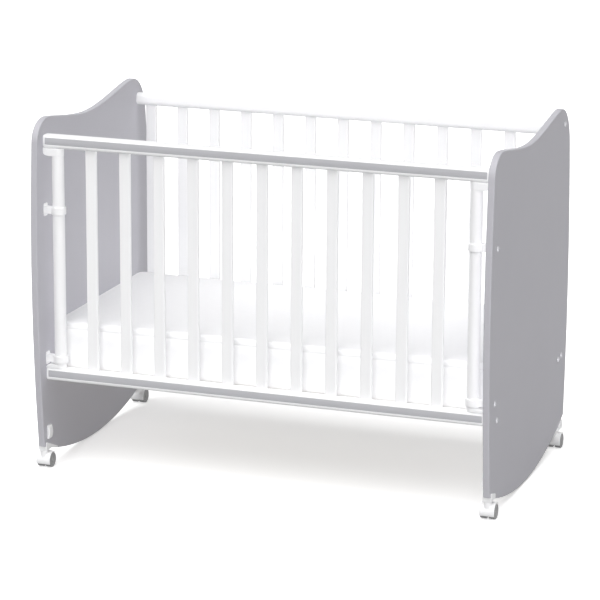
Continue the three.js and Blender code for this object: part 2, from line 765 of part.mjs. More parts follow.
// Drop side, raised
const topRailHeight = gateTop - railHeight / 2;
const bottomRailHeight = gateUndersideHeight + railHeight / 2;
addPiece('gate_top_rail', gateRailGeometry(-1), whiteLacquer, [0, gateY, topRailHeight]);
addPiece('gate_bottom_rail', gateRailGeometry(1), whiteLacquer, [0, gateY, bottomRailHeight]);
const stripe = stripeGeometry();
const stripeY = gateY - railDepth / 2 + stripeDepth - seatGap;
const stripeRise = stripeLowerLip + stripeHeight / 2;
addPiece('gate_top_stripe', stripe, greyInlay, [0, stripeY, topRailUnderside + stripeRise]);
addPiece('gate_bottom_stripe', stripe, greyInlay, [0, stripeY, gateUndersideHeight + stripeRise]);
for (const side of sides) {
  const x = side.sign * postX;
  addPiece(
    `gate_top_hub_${side.name}`, hubGeometry(topHubHeight, side.sign, -1), whitePlastic,
    [x, gateY, topRailUnderside - seatGap],
  );
  addPiece(
    `gate_bottom_hub_${side.name}`, hubGeometry(bottomHubHeight, side.sign, 1), whitePlastic,
    [x, gateY, bottomRailTop + seatGap],
  );
  addPiece(`gate_post_${side.name}`, postGeometry(), whiteLacquer, [x, gateY, 0]);
}
const gateSlatLength = topRailUnderside - bottomRailTop + 2 * slatTenon;
const gateSlat = slatGeometry(gateSlatLength);
gateSlatPlaces().forEach((x, i) => {
  addPiece(numbered('gate_slat', i), gateSlat, whiteLacquer, [x, gateY, bottomRailTop - slatTenon]);
});

// Guides and stops, the right ones turned half round
for (const side of sides) {
  const guide = guideGeometry();
  const stop = stopGeometry();
  if (side.sign > 0) {
    guide.rotateZ(Math.PI);
    stop.rotateZ(Math.PI);
  }
  const x = side.sign * postX;
  addPiece(`gate_guide_upper_${side.name}`, guide, whitePlastic, [x, gateY, upperGuideHeight]);
  addPiece(`gate_guide_lower_${side.name}`, guide, whitePlastic, [x, gateY, lowerGuideHeight]);
  const stopX = side.sign * (panelInnerX - seatGap);
  addPiece(`gate_stop_${side.name}`, stop, whitePlastic, [stopX, gateY, stopTop - stopHeight]);
}

// Fixed back
addPiece('back_top_rail', backRailGeometry(-1), whiteLacquer, [0, backY, backTopRailHeight]);
addPiece('back_bottom_rail', backRailGeometry(1), whiteLacquer, [0, backY, backBottomRailHeight]);
const backSlatLow = backBottomRailHeight + railHeight / 2 - slatTenon;
const backSlatHigh = backTopRailHeight - railHeight / 2 + slatTenon;
const backSlat = slatGeometry(backSlatHigh - backSlatLow);
backSlatPlaces().forEach((x, i) => {
  addPiece(numbered('back_slat', i), backSlat, whiteLacquer, [x, backY, backSlatLow]);
});

// Base and mattress
const bearer = bearerGeometry();
const bearerShift = (mattressWidth - baseBearerWidth) / 2 - baseMatInset;
const bearerHeight = baseHeight - baseMatThickness - seatGap - baseBearerHeight / 2;
addPiece('base_bearer_front', bearer, bareBeech, [0, mattressY - bearerShift, bearerHeight]);
addPiece('base_bearer_rear', bearer, bareBeech, [0, mattressY + bearerShift, bearerHeight]);
addPiece('base_slats', baseMatGeometry(), bareBeech, [0, mattressY, baseHeight - baseMatThickness / 2]);
addPiece('mattress', mattressGeometry(), mattressCover, [0, mattressY, baseHeight + seatGap]);

// Casters
const hood = hoodGeometry();
const wheelPair = wheelPairGeometry();
for (const end of casterEnds) {
  for (const side of sides) {
    const x = side.sign * panelMiddleX;
    const axle = [x, end.stemY + casterTrail, wheelRadius];
    const corner = `${end.name}_${side.name}`;
    addPiece(`caster_shoe_${corner}`, shoeGeometry(end, side.sign), whitePlastic, [x, 0, 0]);
    addPiece(`caster_hood_${corner}`, hood, whitePlastic, axle);
    addPiece(`caster_wheels_${corner}`, wheelPair, wheelPlastic, axle);
  }
}

export default group;
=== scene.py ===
"""Looks of a crib with a drop side, two rocker ends and casters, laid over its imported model.

Lengths in the shape functions are millimetres, and to_mesh turns them into metres.
"""

import math

import bmesh
import bpy
import numpy as np
from bpy.props import FloatProperty, FloatVectorProperty, IntProperty, PointerProperty
from mathutils import Matrix, Vector


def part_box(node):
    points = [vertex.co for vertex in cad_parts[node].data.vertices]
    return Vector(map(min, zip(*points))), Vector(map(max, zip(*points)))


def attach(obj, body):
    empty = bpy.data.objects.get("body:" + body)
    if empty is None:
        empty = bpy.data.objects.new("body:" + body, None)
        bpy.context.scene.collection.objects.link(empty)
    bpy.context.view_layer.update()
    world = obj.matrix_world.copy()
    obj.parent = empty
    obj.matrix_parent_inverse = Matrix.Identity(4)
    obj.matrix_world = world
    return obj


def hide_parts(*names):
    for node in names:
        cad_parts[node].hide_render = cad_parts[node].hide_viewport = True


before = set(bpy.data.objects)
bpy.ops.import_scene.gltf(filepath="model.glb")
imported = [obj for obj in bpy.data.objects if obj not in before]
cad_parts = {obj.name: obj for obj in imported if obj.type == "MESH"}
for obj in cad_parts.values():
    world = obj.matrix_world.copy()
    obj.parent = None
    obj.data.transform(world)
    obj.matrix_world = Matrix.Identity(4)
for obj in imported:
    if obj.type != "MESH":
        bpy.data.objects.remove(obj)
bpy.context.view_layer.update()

bl_info = {
    "name": "Crib Looks",
    "version": (1, 0, 0),
    "blender": (4, 5, 0),
    "location": "3D View > Sidebar > Crib",
    "description": "Builds the visible pieces of a crib round its packed model",
    "category": "Object",
}

MM = 0.001
SIDES = {"left": -1, "right": 1}
ENDS = {"front": -1, "rear": 1}
X, Y, Z = range(3)


def linear(hex_colour):
    """Turns an sRGB hex colour into linear red, green, blue and a full alpha"""
    parts = np.array([int(hex_colour[i:i + 2], 16) for i in (1, 3, 5)]) / 255
    low = parts / 12.92
    high = ((parts + 0.055) / 1.055) ** 2.4
    return (*np.where(parts <= 0.04045, low, high).tolist(), 1.0)


def span(node):
    """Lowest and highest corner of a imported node, in millimetres"""
    low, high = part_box(node)
    return np.array(low) / MM, np.array(high) / MM


def middle_of(node):
    """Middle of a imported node's box, in millimetres"""
    low, high = span(node)
    return (low + high) / 2


def outermost(low, high, sign):
    """How far from the middle plane a box on the left or the right reaches"""
    return high[0] if sign > 0 else -low[0]


def colour(name, text, default):
    """A colour that the user can set, given as sRGB hex"""
    return FloatVectorProperty(
        name=name, description=text, subtype="COLOR", size=4, min=0, max=1, default=linear(default)
    )


def length(name, text, default):
    """A length that the user can set, given in millimetres"""
    return FloatProperty(
        name=name, description=text, unit="LENGTH", subtype="DISTANCE", min=0, precision=5,
        default=default * MM,
    )


class CribColours(bpy.types.PropertyGroup):
    """Colours of the finishes"""

    panel: colour("Panels", "Satin lacquer on the end panels", "#BBBAC0")
    white: colour("White lacquer", "Lacquer on rails, slats and posts", "#F4F4F5")
    plastic: colour("White plastic", "Guides, hubs, stops, shoes and hoods", "#F4F4F5")
    inlay: colour("Stripes", "Foil bands in the rails of the drop side", "#ABABAF")
    cover: colour("Mattress cover", "Woven cover of the mattress", "#F4F4F5")
    wheel: colour("Wheels", "Wheel discs", "#9E9E9F")
    tyre: colour("Tyres", "Rubber on the wheels", "#6F6F71")
    beech: colour("Beech", "Bare wood of the base", "#D6CBBA")
    steel: colour("Bolt heads", "Zinc plate on the bolts", "#AFAFB3")


class CribSizes(bpy.types.PropertyGroup):
    """Sizes of edges, seams and fasteners"""

    panel_edge: length("Panel edge", "Radius of the routed edge of the end panels", 3.0)
    rail_edge: length("Gate rail edge", "Radius along the rails of the drop side", 7.0)
    rail_end: length("Gate rail end", "Radius round the ends of those rails", 3.0)
    back_edge: length("Back rail edge", "Radius along the rails of the fixed back", 12.0)
    slat_edge: length("Slat edge", "Radius along the slats", 3.0)
    plastic_edge: length("Plastic edge", "Radius of moulded edges", 0.8)
    voxel: length("Moulding grain", "Voxel at which moulded pieces are fused", 0.6)
    roll: length("Mattress roll", "Radius of the roll round the mattress edge", 14.0)
    seam: length("Mattress seam", "Depth of the seam round the mattress", 2.8)
    bolt: length("Bolt head", "Radius of the bolt heads on the panels", 8.0)
    cloth_frames: IntProperty(
        name="Cloth frames", description="Frames for which the mattress cover swells", min=1, default=16
    )


def quads(rows, columns, close_rows=False, close_columns=True):
    """Corner numbers of the faces between neighbouring points of a grid, row after row"""
    down = np.arange(rows if close_rows else rows - 1)[:, None]
    across = np.arange(columns if close_columns else columns - 1)
    after = (across + 1) % columns
    below = ((down + 1) % rows) * columns
    row = down * columns
    return np.stack([row + across, row + after, below + after, below + across], -1).reshape(-1, 4).tolist()


def loft(rings):
    """A closed skin over rings of equal count, with a flat face on the first and the last ring"""
    rows, columns = rings.shape[:2]
    faces = quads(rows, columns)
    faces.append(list(range(columns)))
    faces.append(list(range((rows - 1) * columns, rows * columns)))
    return rings.reshape(-1, 3), faces


def join(*shells):
    """Several shells as one list of points and faces"""
    points = np.concatenate([shell[0] for shell in shells])
    starts = np.cumsum([0] + [len(shell[0]) for shell in shells[:-1]])
    faces = []
    for start, shell in zip(starts.tolist(), shells):
        faces += [[corner + start for corner in face] for face in shell[1]]
    return points, faces


def moved(shell, offset):
    """A shell shifted by an offset"""
    return shell[0] + np.array(offset, float), shell[1]


def mirrored(shell, side):
    """A shell made for the left side, with its X turned round for the right one"""
    return shell[0] * np.array([-side, 1.0, 1.0]), shell[1]


def mitre(outline):
    """Vectors that move each corner of a counterclockwise outline outwards by one along both its edges:
    the sum of the two edge normals over one plus their product"""
    edge = np.roll(outline, -1, 0) - outline
    edge = edge / np.linalg.norm(edge, axis=1, keepdims=True)
    after = np.stack([edge[:, 1], -edge[:, 0]], 1)
    before = np.roll(after, 1, 0)
    return (before + after) / (1 + (before * after).sum(1, keepdims=True))


def rounded_rectangle(width, height, radius, steps=7):
    """Four quarter circles of the radius round four centres, counterclockwise"""
    turn = np.linspace(0, np.pi / 2, steps)
    angles = np.arange(4)[:, None] * np.pi / 2 + turn
    signs = np.array([[1, 1], [-1, 1], [-1, -1], [1, -1]])
    centres = signs * (np.array([width, height]) / 2 - radius)
    points = centres[:, None] + radius * np.stack([np.cos(angles), np.sin(angles)], -1)
    return points.reshape(-1, 2)


def circle(radius, steps=48):
    """Points at equal angles round the origin"""
    angle = np.arange(steps) * 2 * np.pi / steps
    return radius * np.stack([np.cos(angle), np.sin(angle)], -1)


def arc(centre, radius, start, stop, steps):
    """Points on a circle from one angle to another, in radians"""
    angle = np.linspace(start, stop, steps)
    return np.array(centre) + radius * np.stack([np.cos(angle), np.sin(angle)], -1)


def bezier(corners, steps=16):
    """Bernstein sum of two, three or four corners, without its last point"""
    corners = np.array(corners, float)
    degree = len(corners) - 1
    t = np.linspace(0, 1, steps, endpoint=False)[:, None]
    weights = [math.comb(degree, k) * t ** k * (1 - t) ** (degree - k) for k in range(degree + 1)]
    return sum(weight * corner for weight, corner in zip(weights, corners))


def prism(outline, low, high, edge, axis=X, steps=5):
    """An outline carried along an axis from low to high. Near both ends it draws in along its mitres by
    edge times one minus the sine of an angle, while it moves on by edge times one minus the cosine"""
    angle = np.linspace(0, np.pi / 2, steps) if edge > 0 else np.array([np.pi / 2])
    draw = edge * (1 - np.sin(angle))
    advance = edge * (1 - np.cos(angle))
    stations = np.concatenate([low + advance, (high - advance)[::-1]])
    draws = np.concatenate([draw, draw[::-1]])
    ring = outline[None] - draws[:, None, None] * mitre(outline)[None]
    points = np.empty((*ring.shape[:2], 3))
    points[..., axis] = stations[:, None]
    points[..., (axis + 1) % 3] = ring[..., 0]
    points[..., (axis + 2) % 3] = ring[..., 1]
    return loft(points)


def revolve(profile, axis, steps=48):
    """A profile of radius and place along an axis, turned round that axis; it starts and ends at radius
    nought, where its rings shrink to a point"""
    profile = np.array(profile, float)
    angle = np.arange(steps) * 2 * np.pi / steps
    points = np.empty((len(profile), steps, 3))
    points[..., axis] = profile[:, 1:2]
    points[..., (axis + 1) % 3] = profile[:, :1] * np.cos(angle)
    points[..., (axis + 2) % 3] = profile[:, :1] * np.sin(angle)
    return points.reshape(-1, 3), quads(len(profile), steps)


def eased(profile, radius, steps=4):
    """A profile whose inner corners are rounded: each corner becomes a curve between the points that lie
    the radius before and after it, or half an edge where the edge is shorter"""
    profile = np.array(profile, float)
    before = profile[:-2] - profile[1:-1]
    after = profile[2:] - profile[1:-1]
    reach_before = np.minimum(radius, np.linalg.norm(before, axis=1) / 2)[:, None]
    reach_after = np.minimum(radius, np.linalg.norm(after, axis=1) / 2)[:, None]
    start = profile[1:-1] + before / np.linalg.norm(before, axis=1, keepdims=True) * reach_before
    stop = profile[1:-1] + after / np.linalg.norm(after, axis=1, keepdims=True) * reach_after
    t = np.linspace(0, 1, steps)[None, :, None]
    curve = (1 - t) ** 2 * start[:, None] + 2 * t * (1 - t) * profile[1:-1, None] + t ** 2 * stop[:, None]
    return np.concatenate([profile[:1], curve.reshape(-1, 2), profile[-1:]])


def to_mesh(name, shell):
    """Makes a mesh in metres, with doubled points merged and every face turned outwards"""
    mesh = bpy.data.meshes.new(name)
    mesh.from_pydata((shell[0] * MM).tolist(), [], shell[1])
    work = bmesh.new()
    work.from_mesh(mesh)
    bmesh.ops.remove_doubles(work, verts=work.verts, dist=0.001 * MM)
    bmesh.ops.dissolve_degenerate(work, edges=work.edges, dist=0.001 * MM)
    bmesh.ops.recalc_face_normals(work, faces=work.faces)
    work.to_mesh(mesh)
    work.free()
    return mesh


def new_object(name, shell):
    """An object at the origin that holds a shell"""
    made = bpy.data.objects.new(name, to_mesh(name, shell))
    bpy.context.scene.collection.objects.link(made)
    return made


def keep_result(piece):
    """Makes what the modifiers show the piece's own mesh"""
    graph = bpy.context.evaluated_depsgraph_get()
    result = bpy.data.meshes.new_from_object(piece.evaluated_get(graph))
    piece.modifiers.clear()
    old = piece.data
    piece.data = result
    bpy.data.meshes.remove(old)


def discard(piece):
    """Removes an object and its mesh"""
    mesh = piece.data
    bpy.data.objects.remove(piece)
    bpy.data.meshes.remove(mesh)


def carve(piece, *shells, operation="DIFFERENCE"):
    """Cuts closed shells out of a piece, or keeps what they share"""
    for shell in shells:
        tool = new_object("tool", shell)
        cutter = piece.modifiers.new("carve", "BOOLEAN")
        cutter.operation = operation
        cutter.solver = "MANIFOLD"
        cutter.object = tool
        keep_result(piece)
        discard(tool)


def mould(piece, voxel, passes=3):
    """Fuses the overlapping shells of a piece into one skin with soft edges, as a mould gives"""
    fuse = piece.modifiers.new("fuse", "REMESH")
    fuse.mode = "VOXEL"
    fuse.voxel_size = voxel
    ease = piece.modifiers.new("ease", "SMOOTH")
    ease.factor = 0.5
    ease.iterations = passes
    keep_result(piece)


def shade(piece, sharp_degrees=32, weighted=True):
    """Smooth shading that breaks at sharp edges and stays flat on flat faces"""
    mesh = piece.data
    mesh.polygons.foreach_set("use_smooth", np.ones(len(mesh.polygons), bool))
    mesh.set_sharp_from_angle(angle=math.radians(sharp_degrees))
    if weighted:
        flat = piece.modifiers.new("flat faces", "WEIGHTED_NORMAL")
        flat.keep_sharp = True
        flat.weight = 100


def dress(piece, body, slot, replaced, *materials):
    """Gives a piece its body, the nodes that it stands for and its materials; its slot is not used"""
    piece.data.materials.clear()
    for material in materials:
        piece.data.materials.append(material)
    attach(piece, body)
    if replaced:
        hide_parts(*replaced)


def dressed(name, shell, body, slot, replaced, material, cutters=(), sharp_degrees=32):
    """Makes a piece of a shell, cuts it, shades it and dresses it"""
    piece = new_object(name, shell)
    carve(piece, *cutters)
    shade(piece, sharp_degrees)
    dress(piece, body, slot, replaced, finish(material))


def in_nylon(piece, body, node):
    """Shades and dresses a piece as moulded white plastic"""
    shade(piece, sharp_degrees=50, weighted=False)
    dress(piece, body, "white_plastic", [node], finish("moulded_white_nylon"))


def add(tree, kind, settings=None, links=None):
    """Adds a node. Settings are properties or input values, and links are the sockets that feed inputs"""
    node = tree.nodes.new(kind)
    for key, value in (settings or {}).items():
        if isinstance(key, str) and hasattr(node, key):
            setattr(node, key, value)
        else:
            node.inputs[key].default_value = value
    for key, source in (links or {}).items():
        tree.links.new(source, node.inputs[key])
    return node


def new_material(name):
    """An empty node material with a surface shader, and its object coordinates"""
    material = bpy.data.materials.new(name)
    material.use_nodes = True
    tree = material.node_tree
    tree.nodes.clear()
    shader = add(tree, "ShaderNodeBsdfPrincipled")
    add(tree, "ShaderNodeOutputMaterial", links={"Surface": shader.outputs[0]})
    place = add(tree, "ShaderNodeTexCoord").outputs["Object"]
    return material, tree, shader, place


def tinted(tree, factor, base, change):
    """Mixes a base colour with one that is lighter or darker by a share, by a factor"""
    other = tuple(min(1.0, part * change) for part in base[:3]) + (1.0,)
    mix = add(tree, "ShaderNodeMix", {"data_type": "RGBA", 6: tuple(base), 7: other}, {0: factor})
    return mix.outputs[2]


def rough(tree, factor, low, high):
    """Roughness between two values, by a factor"""
    ramp = add(tree, "ShaderNodeMapRange", {"To Min": low, "To Max": high}, {"Value": factor})
    return ramp.outputs["Result"]


def noise(tree, place, size, detail, distortion=0.0):
    """Noise whose grains are about a size across in millimetres, or have one size for each axis"""
    scale = 1.0
    if np.ndim(size):
        stretch = [1 / (part * MM) for part in size]
        place = add(tree, "ShaderNodeMapping", {"Scale": stretch}, {"Vector": place}).outputs[0]
    else:
        scale = 1 / (size * MM)
    settings = {"Scale": scale, "Detail": detail, "Distortion": distortion}
    return add(tree, "ShaderNodeTexNoise", settings, {"Vector": place}).outputs[0]


def along(axis, long, short):
    """Sizes of grains that are long on one axis and short on the other two"""
    return [long if number == axis else short for number in range(3)]


def combine(tree, operation, values):
    """One value worked out of several by a kind of sum"""
    total = values[0]
    for value in values[1:]:
        total = add(tree, "ShaderNodeMath", {"operation": operation}, {0: total, 1: value}).outputs[0]
    return total


def surface(tree, shader, tint, relief, gloss=None, specular=0.5):
    """Gives a shader its colour; its relief, as a height, a strength and a depth in millimetres; its
    roughness, as a noise and the values at its ends; and how strongly it mirrors"""
    height, strength, depth = relief
    bump = add(tree, "ShaderNodeBump", {"Strength": strength, "Distance": depth * MM}, {"Height": height})
    tree.links.new(tint, shader.inputs["Base Color"])
    tree.links.new(bump.outputs[0], shader.inputs["Normal"])
    shader.inputs["Specular IOR Level"].default_value = specular
    if gloss:
        tree.links.new(rough(tree, *gloss), shader.inputs["Roughness"])


def satin_lacquer(name, base):
    """Satin lacquer sprayed on board: an even grey with the faint orange peel of the spray gun, seen only
    where light grazes it, and a slow change of tone over a hand's width"""
    material, tree, shader, place = new_material(name)
    peel = noise(tree, place, size=2.2, detail=2.0)
    tone = tinted(tree, noise(tree, place, size=140, detail=3.0), base, 0.965)
    surface(tree, shader, tone, relief=(peel, 0.5, 0.03), gloss=(peel, 0.5, 0.62), specular=0.2)
    return material


def lacquered_beech(name, base, axis):
    """White lacquer on beech: an opaque white through which the fine pores still show as short, shallow
    lines along the grain; the axis is the way the grain runs"""
    material, tree, shader, place = new_material(name)
    grain = noise(tree, place, along(axis, 28, 1.1), detail=3.0)
    tone = tinted(tree, noise(tree, place, size=90, detail=2.0), base, 0.975)
    surface(tree, shader, tone, relief=(grain, 0.45, 0.04), gloss=(grain, 0.42, 0.56), specular=0.2)
    return material


def printed_foil(name, base):
    """Printed foil band: a flat grey with fine lighter and darker streaks along its length, like brushed
    metal, and a soft gloss"""
    material, tree, shader, place = new_material(name)
    streak = noise(tree, place, along(X, 70, 2), detail=4.0)
    tone = tinted(tree, streak, base, 1.16)
    surface(tree, shader, tone, relief=(streak, 0.2, 0.02), gloss=(streak, 0.38, 0.5))
    return material


def moulded_plastic(name, base, grain_size, low, high):
    """Moulded plastic with the fine spark-eroded grain of its tool: a matt bloom in the highlights"""
    material, tree, shader, place = new_material(name)
    grain = noise(tree, place, grain_size, detail=2.0)
    tone = tinted(tree, grain, base, 0.96)
    surface(tree, shader, tone, relief=(grain, 0.4, 0.03), gloss=(grain, low, high), specular=0.3)
    return material


THREAD_SPACING = 2.4
WAVE_SCALE = 0.314


def woven_cover(name, base):
    """Woven polyester cover: fine crossing threads, drawn at twice their real spacing so that they show,
    with a soft sheen and no gloss"""
    material, tree, shader, place = new_material(name)
    thread = {"Scale": WAVE_SCALE / (THREAD_SPACING * MM), "Distortion": 0.6, "Detail": 1.0}
    waves = [
        add(tree, "ShaderNodeTexWave", {"bands_direction": way, **thread}, {"Vector": place}).outputs["Fac"]
        for way in "XYZ"
    ]
    slub = tinted(tree, noise(tree, place, size=16, detail=3.0), base, 0.97)
    surface(tree, shader, slub, relief=(combine(tree, "ADD", waves), 0.35, 0.08))
    shader.inputs["Roughness"].default_value = 0.9
    shader.inputs["Sheen Weight"].default_value = 0.15
    shader.inputs["Sheen Roughness"].default_value = 0.4
    return material


def bare_beech(name, base, axis):
    """Bare planed beech: warm pale wood with long soft bands, short dark flecks along the grain and a dry
    surface; the axis is the way the grain runs"""
    material, tree, shader, place = new_material(name)
    band = noise(tree, place, along(axis, 160, 9), detail=4.0, distortion=0.4)
    fleck = noise(tree, place, along(axis, 7, 0.9), detail=1.0)
    dark = add(tree, "ShaderNodeMapRange", {"From Min": 0.58, "From Max": 0.74}, {"Value": fleck})
    flecked = add(
        tree, "ShaderNodeMix", {"data_type": "RGBA", 7: linear("#A98559")},
        {0: dark.outputs[0], 6: tinted(tree, band, base, 0.78)},
    )
    surface(tree, shader, flecked.outputs[2], relief=(fleck, 0.4, 0.06), gloss=(band, 0.6, 0.74))
    return material


def zinc_plate(name, base):
    """Zinc plate on steel: a dull grey metal with faint turning marks that spread its highlight"""
    material, tree, shader, place = new_material(name)
    marks = noise(tree, place, size=0.6, detail=2.0)
    shader.inputs["Base Color"].default_value = tuple(base)
    shader.inputs["Metallic"].default_value = 1.0
    tree.links.new(rough(tree, marks, 0.36, 0.5), shader.inputs["Roughness"])
    return material


# Each finish has its maker, its colour, and the grain's axis or its size and the ends of its roughness
FINISHES = {
    "satin_lacquer_on_board": (satin_lacquer, "panel"),
    "lacquered_beech_upright": (lacquered_beech, "white", Z),
    "lacquered_beech_lengthwise": (lacquered_beech, "white", X),
    "printed_foil": (printed_foil, "inlay"),
    "moulded_white_nylon": (moulded_plastic, "plastic", 0.9, 0.36, 0.48),
    "moulded_grey_nylon": (moulded_plastic, "wheel", 0.9, 0.5, 0.62),
    "grey_tyre_rubber": (moulded_plastic, "tyre", 1.4, 0.72, 0.85),
    "woven_polyester_cover": (woven_cover, "cover"),
    "bare_beech_lengthwise": (bare_beech, "beech", X),
    "bare_beech_crosswise": (bare_beech, "beech", Y),
    "zinc_plated_steel": (zinc_plate, "steel"),
}


def finish(name):
    """The material of that name, made once from the colours of the scene"""
    if name in bpy.data.materials:
        return bpy.data.materials[name]
    maker, paint, *numbers = FINISHES[name]
    return maker(name, getattr(bpy.context.scene.crib_colours, paint), *numbers)


# End panel outline, in the sizes of the solid
ROCKER_RADIUS = 990.0
ROCKER_Y = -14.0
TOE_INSET = 29.0
HEEL_INSET = 13.0
FRONT_BOW = 13.0
REAR_BOW = 24.0
FRONT_CORNER = (68.0, 61.0)
REAR_CORNER = (92.0, 100.0)
SHOULDER_DROP = 4.5
WAVE_DIP = 36.0
BELLY_SHARES = (0.577, 0.426)
DIP_SHARE = 0.46
EASE_SHARE = 0.37
CREST_EASE_SHARE = 0.2
SHOULDER_EASE_SHARE = 0.15
ROCKER_CLEARANCE = 3.5


def rocker_centre():
    """Height of the middle of the rocker arc"""
    return ROCKER_CLEARANCE + ROCKER_RADIUS


def rocker_angle(y, radius=ROCKER_RADIUS):
    """Angle on the rocker arc at a place along the depth, seen from its centre"""
    return math.atan2(-math.sqrt(radius ** 2 - (y - ROCKER_Y) ** 2), y - ROCKER_Y)


def rocker_height(y):
    """Height of the rocker arc over the floor"""
    return rocker_centre() + ROCKER_RADIUS * math.sin(rocker_angle(y))


def panel_outline(low, high):
    """Depth and height of an end panel's rim: the rocker arc, two curves up the rear, four curves over
    the crest, the dip and the shoulder, and two curves down the front"""
    front, rear, crest = low[1], high[1], high[2]
    shoulder, dip = crest - SHOULDER_DROP, crest - WAVE_DIP
    toe, heel = front + TOE_INSET, rear - HEEL_INSET
    belly, back_belly = (share * crest for share in BELLY_SHARES)
    front_top = (front + FRONT_BOW, shoulder - FRONT_CORNER[1])
    rear_top = (rear - REAR_BOW, crest - REAR_CORNER[1])
    toe_point, heel_point = ((y, rocker_height(y)) for y in (toe, heel))
    shoulder_y = front_top[0] + FRONT_CORNER[0]
    crest_y = rear_top[0] - REAR_CORNER[0]
    dip_y = front + DIP_SHARE * (rear - front)
    rise, fall = crest_y - dip_y, dip_y - shoulder_y
    parts = [
        arc((ROCKER_Y, rocker_centre()), ROCKER_RADIUS, rocker_angle(toe), rocker_angle(heel), 96)[:-1],
        bezier([heel_point, (rear, (heel_point[1] + back_belly) / 2), (rear, back_belly)]),
        bezier([(rear, back_belly), (rear, (rear_top[1] + back_belly) / 2), rear_top], 24),
        bezier([
            rear_top, (rear_top[0] - REAR_BOW * EASE_SHARE, crest - REAR_CORNER[1] * EASE_SHARE),
            (rear_top[0] - REAR_CORNER[0] / 2, crest), (crest_y, crest),
        ], 24),
        bezier([
            (crest_y, crest), (crest_y - rise * CREST_EASE_SHARE, crest),
            (dip_y + rise * EASE_SHARE, dip), (dip_y, dip),
        ], 32),
        bezier([
            (dip_y, dip), (dip_y - fall * EASE_SHARE, dip),
            (shoulder_y + fall * SHOULDER_EASE_SHARE, shoulder), (shoulder_y, shoulder),
        ], 32),
        bezier([
            (shoulder_y, shoulder), (shoulder_y - FRONT_CORNER[0] / 2, shoulder),
            (front_top[0], shoulder - FRONT_CORNER[1] * EASE_SHARE), front_top,
        ], 24),
        bezier([front_top, (front, (front_top[1] + belly) / 2), (front, belly)], 24),
        bezier([(front, belly), (front, (toe_point[1] + belly) / 2), toe_point], 24),
    ]
    return np.concatenate(parts)


STEM_BORE_RADIUS = 4.4
STEM_BORE_TOP = 73.9
STEM_BORE_START = 10.0
STEMS_Y = {"front": -336.0, "rear": 308.0}
FIT = 0.3
OVERRUN = 2.0


def bore(radius, x, y, low, high, steps=32):
    """An upright cylinder, used as a cutter"""
    return moved(prism(circle(radius, steps), low, high, 0, axis=Z), (x, y, 0))


def stem_bore(x, y, low):
    """Cutter for the bore that takes a caster's stem"""
    return bore(STEM_BORE_RADIUS, x, y, low, STEM_BORE_TOP, 24)


class CRIB_OT_end_panels(bpy.types.Operator):
    """Makes the two end panels with their routed edges"""

    bl_idname = "crib.end_panels"
    bl_label = "End Panels"

    def execute(self, context):
        edge = context.scene.crib_sizes.panel_edge / MM
        for side in SIDES:
            node = f"end_panel_{side}"
            low, high = span(node)
            board = prism(panel_outline(low, high), low[0], high[0], edge, steps=7)
            x = middle_of(node)[0]
            bores = [stem_bore(x, y, rocker_height(y) - STEM_BORE_START) for y in STEMS_Y.values()]
            dressed(
                f"panel_{side}", board, "root", "grey_lacquer", [node], "satin_lacquer_on_board", bores,
                sharp_degrees=40,
            )
        return {"FINISHED"}


RAIL_FINISH = "lacquered_beech_lengthwise"
UPRIGHT_FINISH = "lacquered_beech_upright"
STRIPE_FRONT_CROWN = 0.6
STRIPE_EDGE = 0.2


def box_shell(low, high):
    """A plain box between two corners, used as a cutter"""
    middle = (np.array(low) + np.array(high)) / 2
    size = np.array(high) - np.array(low)
    outline = np.array([[1, 1], [-1, 1], [-1, -1], [1, -1]]) / 2 * size[1:]
    return moved(prism(outline, -size[0] / 2, size[0] / 2, 0), middle)


def tenon_room(place, rail, tenon):
    """Lowest and highest point of a cutter for a tenon that ends in a top or a bottom rail"""
    rail_low, rail_high = span(rail)
    low, high = span(tenon)
    if place == "top":
        return rail_low[2] - OVERRUN, high[2] + FIT
    return low[2] - FIT, rail_high[2] + OVERRUN


def slats_of(group):
    """Nodes of the slats of the drop side or the back"""
    return [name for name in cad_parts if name.startswith(f"{group}_slat_")]


def mortises(group, place):
    """Cutters for the tenons of all slats that end in one rail"""
    slats = slats_of(group)
    bottom, top = tenon_room(place, f"{group}_{place}_rail", slats[0])
    boxes = []
    for low, high in map(span, slats):
        boxes.append(box_shell((low[0] - FIT, low[1] - FIT, bottom), (high[0] + FIT, high[1] + FIT, top)))
    return join(*boxes)


def rail_shell(low, high, edge, end):
    """A rail along X: a rounded rectangle carried from end to end"""
    middle = (low + high) / 2
    outline = rounded_rectangle(high[1] - low[1], high[2] - low[2], edge, 9)
    return moved(prism(outline, low[0], high[0], end), (0, middle[1], middle[2]))


def stripe_shell(low, high):
    """A band whose front is slightly crowned: half a sine of its height"""
    share = np.linspace(0, 1, 13)
    front = low[1] + STRIPE_FRONT_CROWN * (1 - np.sin(np.pi * share))
    height = high[2] + (low[2] - high[2]) * share
    rear = np.array([[high[1], low[2]], [high[1], high[2]]])
    outline = np.concatenate([np.stack([front, height], 1), rear])
    return prism(outline, low[0], high[0], STRIPE_EDGE, steps=3)


